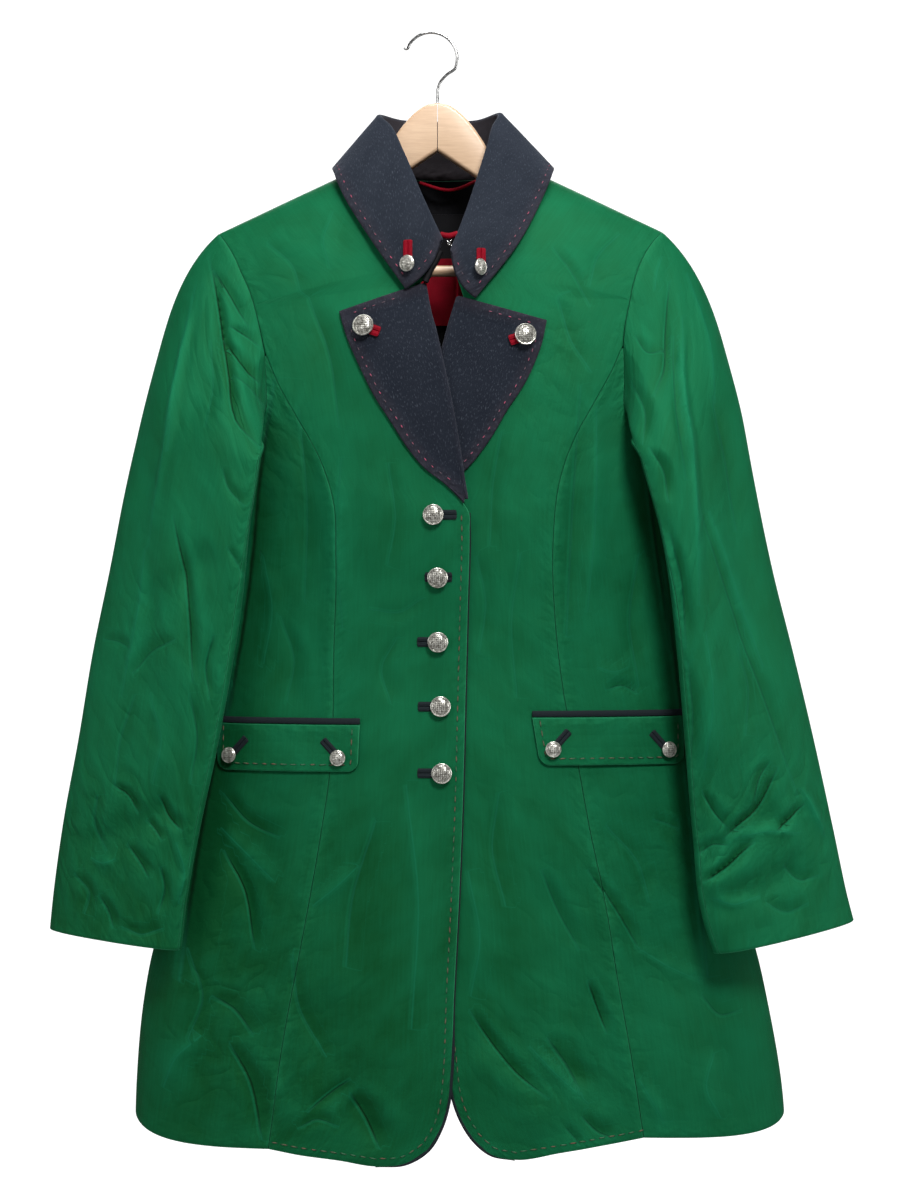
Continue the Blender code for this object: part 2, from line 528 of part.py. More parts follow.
def side_front(name, half):
    inner = princess(half)
    outer = low_armhole(half) + side_seam(half)[1:]
    spread = np.linspace(0, 1, SIDE_COLUMNS + 1)
    top = [(1 - s) * inner[0] + s * outer[0] for s in spread]
    hem_end = inner[-1]
    bottom = [(1 - s) * hem_end + s * outer[-1] + np.array([0, -0.008 * math.sin(math.pi * s)]) for s in spread]
    grid = coons(inner, outer, top, bottom)
    grid[0] += SIDE_FRONT_TIP * (grid[1] - grid[0])
    return body_piece(f"side_front_{name}", grid, "front", half.layer)


def back_top(half):
    """The back neck from the centre seam out, then the shoulder to its tip."""
    side = half.neck[0]
    neck = sampled([NECK_BACK, (0.5 * (NECK_BACK[0] + side.x), -0.1245), side], NECK_COLUMNS)
    return angled(neck[:-1] + shoulder(half, BACK_COLUMNS))


def back(name, half):
    outer = back_armhole(half) + side_seam(half)[1:]
    top = back_top(half)
    rows = len(outer)
    fractions = np.linspace(0, 1, rows)
    centre = [np.array([plan_angle(ring_at(z)[0], z), z]) for z in NECK_BACK[1] + fractions * (BACK_HEM - NECK_BACK[1])]
    centre[0] = top[0]
    spread = np.linspace(0, 1, len(top))
    bottom = [(1 - s) * centre[-1] + s * outer[-1] for s in spread]
    grid = coons(centre, outer, top, bottom)
    return body_piece(f"back_{name}", grid, "back", half.layer)


# ---- Sleeves ---------------------------------------------------------------------------------------------------
def armhole_ring(half):
    """The armhole as points: down the front from the tip, under the arm, and up the back to the tip again."""
    front = angled(sampled(half.armhole, ARMHOLE_ROWS)) + low_armhole(half)[1:]
    behind = back_armhole(half)[:-1]
    points = [body_point(angle, z, "front", half.layer) for angle, z in front]
    points += [body_point(angle, z, "back", half.layer) for angle, z in reversed(behind)]
    return np.array(points[:-1])


def ring_degrees(count):
    """Where each armhole sample meets the sleeve's section: 0 inner edge, 90 front, 180 outer edge, -90 back."""
    marks = [0, LOW_CORNER, ARMHOLE_ROWS + LOW_ROWS, count]
    return np.interp(range(count), marks, [180.0, 12.0, -62.0, -180.0])


def section(lie, degrees):
    """A point of the sleeve's flattened section at one station."""
    outer, inner = np.array(lie[0:3]), np.array(lie[3:6])
    angle = math.radians(degrees)
    half = (outer - inner) / 2
    front = np.array([half[1], -half[0], 0.0])
    front *= math.copysign(1.0, -front[1]) / np.linalg.norm(front)
    reach = math.copysign(abs(math.cos(angle)) ** ROUNDNESS, math.cos(angle))
    swell = math.copysign(abs(math.sin(angle)) ** ROUNDNESS, math.sin(angle))
    depth = lie[6] if swell > 0 else lie[7]
    return (outer + inner) / 2 - half * reach + front * depth * swell


def sleeve_grid(half):
    """Rows from the armhole to the cuff, a column for each armhole sample."""
    ring = armhole_ring(half)
    degrees = ring_degrees(len(ring))
    station = through(half.sleeve)
    lies = [station(t) for t in np.linspace(0, 1, TUBE_ROWS + 1)]
    columns = []
    for start, angle in zip(ring, degrees):
        head = section(lies[0], angle)
        front, inner = math.sin(math.radians(angle)), max(math.cos(math.radians(angle)), 0.0)
        behind = max(-front, 0.0)
        away = np.array([half.sign * (0.85 - 0.6 * inner + 0.5 * behind), -0.35 * front - 0.8 * inner,
                         -0.45 + 0.3 * behind])
        start = start + (SEAM + ARMHOLE_STEP * behind) * away
        length = np.linalg.norm(head - start)
        leave = length * (0.75 * away + 0.35 * (head - start) / length)
        axis = section(lies[1], angle) - head
        arrive = 0.9 * length * axis / np.linalg.norm(axis)
        column = []
        for t in np.linspace(0, 1, CAP_ROWS + 1):
            blend = (2 * t**3 - 3 * t**2 + 1) * start + (3 * t**2 - 2 * t**3) * head
            column.append(blend + (t**3 - 2 * t**2 + t) * leave + (t**3 - t**2) * arrive)
        column += [section(lie, angle) for lie in lies[1:]]
        columns.append(column)
    return np.array(columns).transpose(1, 0, 2)


def sleeve_normals(grid):
    around = np.roll(grid, -1, axis=1) - np.roll(grid, 1, axis=1)
    normals = np.cross(np.gradient(grid, axis=0), around)
    normals /= np.linalg.norm(normals, axis=2, keepdims=True)
    centre = grid.mean(axis=1, keepdims=True)
    return normals * math.copysign(1.0, (normals * (grid - centre))[-1].sum())


def folded_sleeve(grid):
    """The sleeve's own folds, pressed into the faces that look forward or back."""
    normals = sleeve_normals(grid)
    folded = grid.copy()
    for i in range(CAP_ROWS // 2, len(grid)):
        for j in range(grid.shape[1]):
            x, _, z = grid[i, j]
            facing = normals[i, j, 1]
            folds = FRONT_FOLDS if facing < 0 else BACK_FOLDS
            folded[i, j] += normals[i, j] * creases(x, z, folds) * abs(facing)
    return folded


def sleeve(name, half):
    grid = folded_sleeve(sleeve_grid(half))
    normals = sleeve_normals(grid)
    count = grid.shape[1]
    upper = [k % count for k in range(ELBOW_SEAM, count + LOW_CORNER + 1)]
    under = list(range(LOW_CORNER, ELBOW_SEAM + 1))
    for kind, columns in (("upper", upper), ("under", under)):
        points = drawn_in(grid[:, columns], 3 * SEAM)
        cloth(f"sleeve_{kind}_{name}", points, normals[:, columns], CLOTH, GREEN, "shell_green")


# ---- Collar and lapels -------------------------------------------------------------------------------------------
def neckline():
    """The neck seam round from one front end to the other, at the same samples as the panels' top edges."""
    right, left = HALVES["right"], HALVES["left"]
    front_right = [body_point(a, z, "front", "over") for a, z in free_edge(right)[: NECK_ROWS + 1]]
    front_left = [body_point(a, z, "front", "under") for a, z in free_edge(left)[: NECK_ROWS + 1]]
    back_right = [body_point(a, z, "back", "over") for a, z in back_top(right)[:NECK_COLUMNS]]
    back_left = [body_point(a, z, "back", "under") for a, z in back_top(left)[1:NECK_COLUMNS]]
    return np.array(front_right[::-1] + back_right[::-1] + back_left + front_left)


STAND_STEPS, ROLL_STEPS, FALL_STEPS = 4, 4, 6


def collar_section(seam, fold, edge, belly):
    """Up the stand from the neck seam, round the fold, and down the fall to its edge."""
    up = fold - (seam + edge) / 2
    up /= np.linalg.norm(up)
    side = (edge - seam) - ((edge - seam) @ up) * up
    side /= np.linalg.norm(side)
    centre = fold - COLLAR_ROLL * up
    foot, shoulder = centre - COLLAR_ROLL * side, centre + COLLAR_ROLL * side
    points = [seam + (foot - seam) * i / STAND_STEPS for i in range(STAND_STEPS)]
    for i in range(ROLL_STEPS + 1):
        turn = math.pi * i / ROLL_STEPS
        points.append(centre + COLLAR_ROLL * (math.sin(turn) * up - math.cos(turn) * side))
    for i in range(1, FALL_STEPS + 1):
        t = i / FALL_STEPS
        points.append(shoulder + (edge - shoulder) * t + 4 * t * (1 - t) * belly)
    return points


def collar_grid(count=None):
    seam = neckline()
    seam[:, 2] += 2 * SEAM
    steps = np.linalg.norm(np.diff(seam, axis=0), axis=1)
    places = np.concatenate([[0.0], np.cumsum(steps)]) / steps.sum()
    lie = through(COLLAR, COLLAR_PLACES)
    grid = []
    for place, foot in zip(places, seam):
        row = lie(place)
        end = max(1 - place / 0.10, 1 - (1 - place) / 0.10, 0.0)
        belly = np.array([(1 if place < 0.5 else -1) * END_BELLY * end, -0.003, -0.6 * END_BELLY * end])
        grid.append(collar_section(foot, row[0:3], row[3:6], belly))
    return np.array(grid)


COLLAR_PLACES = [0.0, 0.14, 0.25, 0.325, 0.37, 0.44, 0.50, 0.56, 0.63, 0.675, 0.75, 0.86, 1.0]


def collar():
    grid = collar_grid()
    return cloth("collar", grid, grid_normals(grid, (0, 0, 1)), FELTED, NAVY, "collar_navy")


def lapel_grid(rows, layer):
    """From the seam behind the roll, round the roll, and back over the front to the lapel's edge."""
    sign = -1 if layer == "over" else 1
    station = through(rows)
    grid = []
    for t in np.linspace(0, 1, LAPEL_ROWS + 1):
        roll_x, roll_z, edge_x, edge_z = station(t)
        base, normal = front_at(roll_x + sign * LAPEL_TUCK, roll_z, layer)
        back_face = base - CLOTH * normal
        toward = np.array([-sign * LAPEL_TUCK, 0.0, 0.0])
        row = [back_face, back_face + toward * 0.35]
        centre = back_face + toward * 0.35 + LAPEL_ROLL * normal
        width = abs(edge_x - roll_x)
        for i in range(1, LAPEL_BENDS):
            turn = math.pi * i / LAPEL_BENDS
            row.append(centre + LAPEL_ROLL * (math.sin(turn) * toward / LAPEL_TUCK - math.cos(turn) * normal))
        for s in np.linspace(0.03, 1, LAPEL_COLUMNS + 1):
            x = roll_x + sign * 0.003 + (edge_x - roll_x - sign * 0.003) * s
            z = roll_z + (edge_z - roll_z) * s
            lift = FELTED + 0.0006 + 0.0018 * (1 - s) * min(width / 0.05, 1.0) + 0.0010 * s**4
            row.append(front_at(x, z, layer, lift)[0])
        grid.append(row)
    return np.array(grid)


LAPEL_ROWS, LAPEL_BENDS, LAPEL_COLUMNS = 10, 4, 6


def lapels():
    for name, rows, layer in (("right", OVER_LAPEL, "over"), ("left", UNDER_LAPEL, "under")):
        grid = lapel_grid(rows, layer)
        normals = grid_normals(grid, (0, -1, 0))
        cloth(f"lapel_{name}", grid, normals, FELTED - 0.0002, NAVY, "collar_navy")


# ---- Pockets, buttonholes and buttons ---------------------------------------------------------------------------
def flap_grid(flap, top, bottom, out, columns, rows):
    grid = []
    for t in np.linspace(0, 1, rows + 1):
        z = top + (bottom - top) * t
        depth = (flap.top_z - z) / (flap.top_z - flap.bottom_z)
        near = flap.near_x + math.copysign(flap.slant, flap.far_x) * max(depth, 0.0)
        row = []
        for s in np.linspace(0, 1, columns + 1):
            x = near + (flap.far_x - near) * s
            row.append(front_at(x, z, flap.side, out)[0])
        grid.append(row)
    return grid


def pockets():
    for flap in FLAPS:
        name = "right" if flap.side == "over" else "left"
        lip = 0.0004
        welt = flap_grid(flap, flap.top_z + WELT_HEIGHT, flap.top_z + lip, 0.0020 + LAID_GAP, 8, 2)
        cloth(f"pocket_welt_{name}", welt, grid_normals(welt, (0, -1, 0)), 0.0020, NAVY, "collar_navy")
        body = np.array(flap_grid(flap, flap.top_z, flap.bottom_z, CLOTH + LAID_GAP, 8, 5))
        rounded = 0.0055
        for column, inside in ((0, 1), (-1, -2)):
            body[-1, column] += np.array([math.copysign(rounded * 0.3, body[-1, inside, 0] - body[-1, column, 0]),
                                          0.0, rounded * 0.45])
        cloth(f"pocket_flap_{name}", body, grid_normals(body, (0, -1, 0)), CLOTH, GREEN, "shell_green")


def framed(normal, up_hint):
    """Two directions in the cloth's face, and the one out of it."""
    normal = normal / np.linalg.norm(normal)
    along = np.cross(up_hint, normal)
    along /= np.linalg.norm(along)
    return along, np.cross(normal, along), normal


def patch(name, centre, frame, length, width, wall, finish, kind):
    """A bound buttonhole: a flat strip with round ends, longest along the frame's first direction."""
    along, across, normal = frame
    bm = bmesh.new()
    bmesh.ops.create_circle(bm, cap_ends=True, radius=width / 2, segments=12)
    for vert in bm.verts:
        shift = math.copysign((length - width) / 2, vert.co.x)
        vert.co = centre + (vert.co.x + shift) * along + vert.co.y * across
    made = bmesh.ops.extrude_face_region(bm, geom=list(bm.faces), use_keep_orig=True)
    for item in made["geom"]:
        if isinstance(item, bmesh.types.BMVert):
            item.co = np.array(item.co) + wall * normal
    return finished(name, bm, finish, kind)


def button(name, foot, frame, diameter):
    """A domed metal button: a turned profile on a short neck."""
    along, across, normal = frame
    radius = diameter / 2
    profile = [(0.30, 0.0), (0.62, 0.06), (0.98, 0.32), (0.92, 0.55), (0.66, 0.82), (0.34, 0.97)]
    bm = bmesh.new()
    chain = [bm.verts.new((0.0, 0.0, 0.0))]
    chain += [bm.verts.new((r * radius, 0.0, h * radius)) for r, h in profile]
    chain.append(bm.verts.new((0.0, 0.0, radius)))
    edges = [bm.edges.new(pair) for pair in zip(chain, chain[1:])]
    bmesh.ops.spin(bm, geom=edges, angle=2 * math.pi, steps=10, axis=(0, 0, 1), cent=(0, 0, 0), use_merge=True)
    bmesh.ops.remove_doubles(bm, verts=bm.verts, dist=1e-5)
    for vert in bm.verts:
        vert.co = foot + vert.co.x * along + vert.co.y * across + vert.co.z * normal
    return finished(name, bm, SILVER, "button_metal")


def collar_place(place, down):
    """A point and a normal on the collar's fall."""
    grid = collar_grid()
    seam = neckline()
    steps = np.linalg.norm(np.diff(seam, axis=0), axis=1)
    places = np.concatenate([[0.0], np.cumsum(steps)]) / steps.sum()
    lines = grid[:, STAND_STEPS + ROLL_STEPS:]
    column = int(np.clip(np.searchsorted(places, place) - 1, 0, len(places) - 2))
    share = (place - places[column]) / (places[column + 1] - places[column])
    low = int(down * FALL_STEPS)
    rest = down * FALL_STEPS - low
    near = lines[column] + (lines[column + 1] - lines[column]) * share
    point = near[low] + (near[low + 1] - near[low]) * rest
    normal = np.cross(lines[column + 1][low] - lines[column][low], near[low + 1] - near[low])
    return point, normal * math.copysign(1.0, -normal[1])


def fastenings():
    up = np.array([0.0, 0.0, 1.0])
    for i, (place, shift) in enumerate(zip(FRONT_BUTTONS, HOLE_SHIFTS), 1):
        point, normal = front_at(place.x + shift, place.z, "over", 2 * SEAM)
        frame = framed(normal, up)
        patch(f"buttonhole_front_{i}", point, frame, HOLE_LENGTH, HOLE_WIDTH, HOLE_WALL, NAVY, "collar_navy")
        foot, normal = front_at(place.x, place.z, "over", 4 * SEAM + HOLE_WALL)
        button(f"button_front_{i}", foot, framed(normal, up), BUTTON_FRONT)
    sides = (("right", "over", 1), ("left", "under", -1))
    for place, (name, layer, sign) in zip(LAPEL_BUTTONS, sides):
        rise = FELTED + 0.0032
        point, normal = front_at(place.x + sign * 0.0105, place.z - 0.0045, layer, rise + SEAM)
        frame = framed(normal, up + sign * 0.35 * np.array([1.0, 0.0, 0.0]))
        patch(f"buttonhole_lapel_{name}", point, frame, 0.0160, 0.0070, HOLE_WALL, RED, "trim_red")
        foot, normal = front_at(place.x, place.z, layer, rise + 2 * SEAM + HOLE_WALL + 0.0004)
        button(f"button_lapel_{name}", foot, framed(normal, up), BUTTON_LAPEL)
    for (place, down), (name, _, _) in zip(COLLAR_BUTTONS, sides):
        point, normal = collar_place(place, down - 0.19)
        normal = normal / np.linalg.norm(normal)
        frame = framed(normal, np.array([1.0, 0.0, 0.0]))
        patch(f"buttonhole_collar_{name}", point + 0.0008 * normal, frame, 0.0170, 0.0070, HOLE_WALL, RED, "trim_red")
        foot, normal = collar_place(place, down)
        normal = normal / np.linalg.norm(normal)
        button(f"button_collar_{name}", foot + 0.0022 * normal, framed(normal, up), BUTTON_COLLAR)
    for flap in FLAPS:
        name = "right" if flap.side == "over" else "left"
        for i, place in enumerate(flap.buttons, 1):
            rise = CLOTH + LAID_GAP
            lean = -1 if i == 1 and flap.side == "over" or i == 2 and flap.side == "under" else 1
            point, normal = front_at(place.x + lean * 0.0075, place.z + 0.0085, flap.side, rise + SEAM)
            frame = framed(normal, up - lean * 1.1 * np.array([1.0, 0.0, 0.0]))
            patch(f"buttonhole_flap_{name}_{i}", point, frame, 0.0200, 0.0065, HOLE_WALL, NAVY, "collar_navy")
            foot, normal = front_at(place.x, place.z, flap.side, rise + 2 * SEAM + HOLE_WALL + 0.0003)
            button(f"button_flap_{name}_{i}", foot, framed(normal, up), BUTTON_FLAP)


# ---- Inside the neck ----------------------------------------------------------------------------------------------
def inside_back(x_low, x_high, z_top, z_bottom, inset, columns, rows):
    return [[laid_on(x, z, "back", "under", -inset)[0] for x in np.linspace(x_low, x_high, columns + 1)]
            for z in np.linspace(z_top, z_bottom, rows + 1)]


def lining():
    gap, wall = 0.0032, 0.0010
    behind = inside_back(-0.0450, 0.0630, -0.1540, -0.3300, CLOTH + gap, 7, 9)
    cloth("back_neck_lining", behind, grid_normals(behind, (0, 1, 0)), wall, BLACK, "lining_black")
    label = inside_back(-0.0120, 0.0300, -0.1950, -0.2570, CLOTH + 1.5 * gap + wall, 3, 3)
    cloth("neck_label", label, grid_normals(label, (0, 1, 0)), wall, RED, "trim_red")


def tube(name, points, diameter, finish, kind, resolution=2):
    curve = bpy.data.curves.new(name, "CURVE")
    curve.dimensions = "3D"
    curve.bevel_depth = diameter / 2
    curve.bevel_resolution = resolution
    curve.use_fill_caps = True
    spline = curve.splines.new("POLY")
    spline.points.add(len(points) - 1)
    for target, point in zip(spline.points, points):
        target.co = (*point, 1.0)
    curve.materials.append(material(kind, finish))
    part = bpy.data.objects.new(name, curve)
    bpy.context.scene.collection.objects.link(part)
    return part


def hanging_loop():
    route = through(HANG_LOOP)
    tube("hanging_loop", [route(t) for t in np.linspace(0, 1, 10)], LOOP_CORD, RED, "trim_red")


# ---- Hanger -------------------------------------------------------------------------------------------------------
def hanger_arm(name, sign):
    """One half of the wooden body: its outline in the front view, given its depth and eased along its edges."""
    bm = bmesh.new()
    tops = [(HANGER_MIDDLE + sign * row.x, row.top) for row in HANGER_ARM]
    bottoms = [(HANGER_MIDDLE + sign * row.x, row.bottom) for row in reversed(HANGER_ARM)]
    verts = [bm.verts.new((x, -ARM_DEPTH / 2, z)) for x, z in tops + bottoms]
    face = bm.faces.new(verts)
    made = bmesh.ops.extrude_face_region(bm, geom=[face], use_keep_orig=True)
    for item in made["geom"]:
        if isinstance(item, bmesh.types.BMVert):
            item.co.y = ARM_DEPTH / 2
    bmesh.ops.recalc_face_normals(bm, faces=bm.faces)
    middle = HANGER_MIDDLE + sign * HANGER_ARM[0].x
    rims = [edge for edge in bm.edges
            if abs(edge.verts[0].co.y - edge.verts[1].co.y) < 1e-6
            and not all(abs(vert.co.x - middle) < 1e-6 for vert in edge.verts)]
    bmesh.ops.bevel(bm, geom=rims, offset=0.0030, segments=2, profile=0.5, affect="EDGES", clamp_overlap=True)
    return finished(name, bm, BIRCH, "birch")


def hanger():
    hanger_arm("hanger_arm_right", -1)
    hanger_arm("hanger_arm_left", 1)
    reach = BAR_REACH - SEAM
    tube("hanger_bar", [(HANGER_MIDDLE - reach, 0, BAR_HEIGHT), (HANGER_MIDDLE + reach, 0, BAR_HEIGHT)], BAR,
         BIRCH, "birch", 3)
    centre_x, centre_z, radius = HOOK_ARC
    turns = np.radians(np.linspace(*HOOK_DEGREES, 18))
    arc = [(centre_x + radius * math.cos(a), 0.0, centre_z + radius * math.sin(a)) for a in turns]
    lead = [(-0.0262, 0.0, -0.0128)]
    tail = through([arc[-2], arc[-1]] + [(x, 0.0, z) for x, z in HOOK_TAIL])
    route = lead + arc[:-2] + [tail(t) for t in np.linspace(0, 1, 9)]
    route.append((HANGER_MIDDLE, 0.0, HANGER_ARM[0].top + SEAM))
    tube("hanger_hook", route, WIRE, STEEL, "hook_steel")


def main():
    for old in list(bpy.data.objects):
        bpy.data.objects.remove(old, do_unlink=True)
    for name, half in HALVES.items():
        centre_front(name, half)
        side_front(name, half)
        back(name, half)
        sleeve(name, half)
    collar()
    lapels()
    pockets()
    fastenings()
    lining()
    hanging_loop()
    hanger()


main()
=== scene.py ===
# %% [markdown]
# # A long tailored jacket on a wooden hanger
#
# The jacket is green wool cloth with a navy felted collar and lapels. It hangs from a wooden hanger, with its
# right front closed over its left one by silver buttons. The imported model already says where every piece is, so
# each cell below builds one piece of clothing at full detail on the same surfaces, with the same numbers.
#
# Cloth like this could be simulated, but a tailored jacket keeps the cut that its maker pressed into it. Here
# each panel is therefore a fine grid laid on one body surface, with creases placed where the cloth
# really drags, and a wall of true thickness behind it.

# %% Load the imported frame
import math
from collections import namedtuple

import bmesh
import bpy
import numpy as np
from mathutils import Matrix, Vector


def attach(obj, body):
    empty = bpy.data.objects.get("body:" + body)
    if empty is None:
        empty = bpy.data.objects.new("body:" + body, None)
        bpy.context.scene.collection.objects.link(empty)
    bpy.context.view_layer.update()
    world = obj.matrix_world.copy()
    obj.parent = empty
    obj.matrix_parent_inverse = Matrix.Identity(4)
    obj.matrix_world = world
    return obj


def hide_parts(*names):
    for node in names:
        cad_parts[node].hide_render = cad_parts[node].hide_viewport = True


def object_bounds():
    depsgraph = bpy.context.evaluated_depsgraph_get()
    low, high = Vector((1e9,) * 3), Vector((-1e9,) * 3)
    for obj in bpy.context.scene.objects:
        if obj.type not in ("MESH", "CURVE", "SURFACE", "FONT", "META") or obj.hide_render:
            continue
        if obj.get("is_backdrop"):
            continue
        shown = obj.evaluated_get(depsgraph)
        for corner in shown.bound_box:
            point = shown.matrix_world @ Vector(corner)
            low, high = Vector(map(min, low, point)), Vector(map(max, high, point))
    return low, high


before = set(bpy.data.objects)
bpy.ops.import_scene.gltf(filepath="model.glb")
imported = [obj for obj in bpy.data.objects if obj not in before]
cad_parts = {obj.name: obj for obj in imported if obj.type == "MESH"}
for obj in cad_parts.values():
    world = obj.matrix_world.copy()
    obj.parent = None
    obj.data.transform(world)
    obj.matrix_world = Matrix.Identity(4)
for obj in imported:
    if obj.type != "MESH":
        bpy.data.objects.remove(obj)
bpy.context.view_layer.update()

# %% [markdown]
# The camera stands two metres in front of the buttons at the height of the waist, level, with a lens long enough
# that the sleeves are hardly widened. It is made first, because the size of everything in the view depends on it.

# %% Camera
CAMERA_AT = (0.01714, -2.05, -0.5105)
VIEW_HEIGHT = 1.056  # metres that the view covers two metres away
SENSOR = 36.0

camera_data = bpy.data.cameras.new("camera")
camera_data.sensor_fit = "VERTICAL"
camera_data.sensor_height = SENSOR
camera_data.lens = SENSOR * 2.0 / VIEW_HEIGHT
camera = bpy.data.objects.new("camera", camera_data)
camera.location = CAMERA_AT
camera.rotation_euler = (math.radians(90), 0.0, 0.0)
bpy.context.scene.collection.objects.link(camera)
bpy.context.scene.camera = camera
print("lens", round(camera_data.lens, 2), "mm")

# %% [markdown]
# ## Measures
#
# These are the tailor's numbers: how thick the cloths are, where the shoulder lines run, and tables of points
# that the seams go through. The solids were made from the same ones, so a panel built here lies where its solid
# lies. Distances are in metres, x to the right, y into the back, z up from the top of the hook.

# %% Cloth thicknesses and seams
CLOTH = 0.0018  # shell cloth with its lining
FELTED = 0.0022  # navy collar and lapels
SEAM = 0.0003
ROUNDNESS = 0.85  # 1 is an ellipse in plan, less is squarer at the sides

SHOULDER_APEX = (0.009, -0.0840)  # where the two shoulder lines would meet, x and z
SHOULDER_SLOPE = 0.475
SHOULDER_EASE = 0.02  # rounds the crossing of the two lines, behind the neck
SHOULDER_SOFTNESS = {"front": 0.045, "back": 0.030}  # how fast the cloth falls away from the shoulder line
SHOULDER_POWER = 0.7
TIP_LEFT_X, TIP_RIGHT_X = -0.1927, 0.2070
NECK_LEFT_X, NECK_RIGHT_X = -0.0640, 0.0820
NECK_BACK = (0.0085, -0.1255)
UNDERARM = -0.358
SIDE_HEM = -0.968
BACK_HEM = -0.972

BUTTON_FRONT, BUTTON_LAPEL, BUTTON_COLLAR, BUTTON_FLAP = 0.0180, 0.0190, 0.0145, 0.0140
LAP, LAP_LAPEL = 0.0045, 0.0060  # how far the over front stands forward, and how much more over its lapel
ARMHOLE_STEP = 0.0016  # how far outside its armhole a sleeve starts at the back of the arm
SIDE_FRONT_TIP = 0.08  # the side front's point starts this share of a row down, so that it keeps a width
RADIAN_OF_CLOTH = 0.12  # cloth that a radian of plan angle takes near the side seams
LAID_GAP = 0.0018  # under a flap or a welt that lies on the rounded front
HOLE_LENGTH, HOLE_WIDTH, HOLE_WALL = 0.024, 0.0085, 0.0009

WIRE = 0.0027
ARM_DEPTH = 0.014
BAR = 0.0100
LOOP_CORD = 0.0032


# %% Seam tables
def table(kind, *rows):
    """A table whose rows are written in tenths of a millimetre and kept in metres."""
    return [kind(*(value / 10000 for value in row)) for row in rows]


Ring = namedtuple("Ring", "z centre half_width front_depth back_depth")
BODY = table(
    Ring,
    (-1150, 80, 2120, 600, 620),
    (-2000, 80, 2120, 610, 620),
    (-2800, 85, 2020, 630, 600),
    (-3600, 95, 1920, 640, 560),
    (-4300, 145, 1940, 620, 520),
    (-5200, 195, 2035, 550, 480),
    (-6000, 190, 2115, 540, 480),
    (-6500, 185, 2225, 550, 500),
    (-7500, 195, 2475, 570, 530),
    (-8350, 200, 2740, 590, 550),
    (-8710, 208, 2810, 600, 550),
    (-9440, 239, 2905, 610, 560),
    (-10200, 260, 2940, 620, 560),
)

Knot = namedtuple("Knot", "x z")  # a place in the front view
# LEFT and RIGHT are sides of the front view, where the wearer's right front lies on the left, over the other.
# Each front's free edge: its neckline from the shoulder down, and its edge below the lapel to the hem corner.
OVER_NECK = table(Knot, (-480, -1470), (-235, -1800), (40, -2120))
UNDER_NECK = table(Knot, (660, -1480), (430, -1840), (190, -2180))
OVER_EDGE = table(
    Knot, (325, -4345), (329, -4494), (316, -5105), (294, -5981), (272, -6853), (237, -7724), (193, -8597),
    (167, -9252), (141, -9505), (80, -9714), (-34, -9906),
)
UNDER_EDGE = table(
    Knot, (-180, -4345), (-183, -4405), (-166, -5105), (-131, -5982), (-78, -6856), (1, -7727), (88, -8600),
    (150, -9168), (185, -9448), (254, -9649), (368, -9832),
)
OVER_CORNER = table(Knot, (-34, -9906), (-235, -10028), (-496, -10055))
UNDER_CORNER = table(Knot, (368, -9832), (525, -9964), (726, -10007))
HEM_LEFT = table(Knot, (-803, -10016), (-1155, -9978), (-1439, -9930))
HEM_RIGHT = table(Knot, (1120, -9951), (1472, -9895), (1861, -9828))
PRINCESS_LEFT = table(
    Knot, (-1479, -2920), (-1370, -3180), (-1204, -3479), (-983, -3876), (-869, -4227), (-845, -4753),
    (-865, -5546), (-897, -6600), (-1000, -7299), (-1158, -8176), (-1307, -8965), (-1439, -9930),
)
PRINCESS_RIGHT = table(
    Knot, (1692, -2852), (1590, -3080), (1441, -3348), (1247, -3701), (1124, -4052), (1065, -4577),
    (1084, -5281), (1155, -5899), (1302, -6645), (1389, -7127), (1519, -7738), (1632, -8439), (1755, -9141),
    (1861, -9828),
)
ARMHOLE_FRONT_LEFT = table(
    Knot, (-1837, -1928), (-1768, -2048), (-1700, -2197), (-1633, -2343), (-1584, -2485), (-1543, -2642),
    (-1479, -2920),
)
ARMHOLE_FRONT_RIGHT = table(
    Knot, (1990, -1880), (1917, -1986), (1815, -2212), (1751, -2477), (1705, -2711), (1692, -2852),
)
# Below the princess seam the armhole turns under the arm. There it is given by plan angle from the centre front.
Under = namedtuple("Under", "degrees z")
ARMHOLE_LOW_LEFT = [Under(-50.5, -0.2920), Under(-49.5, -0.3200), Under(-51.0, -0.3420), Under(-63.0, -0.3550),
                    Under(-90.0, UNDERARM)]
ARMHOLE_LOW_RIGHT = [Under(51.5, -0.2852), Under(52.5, -0.3180), Under(54.5, -0.3420), Under(66.0, -0.3550),
                     Under(90.0, UNDERARM)]
ARMHOLE_BACK_LEFT = table(Knot, (-1790, -2020), (-1670, -2350), (-1600, -2750), (-1590, -3100))
ARMHOLE_BACK_RIGHT = table(Knot, (1940, -2000), (1830, -2350), (1770, -2750), (1770, -3100))

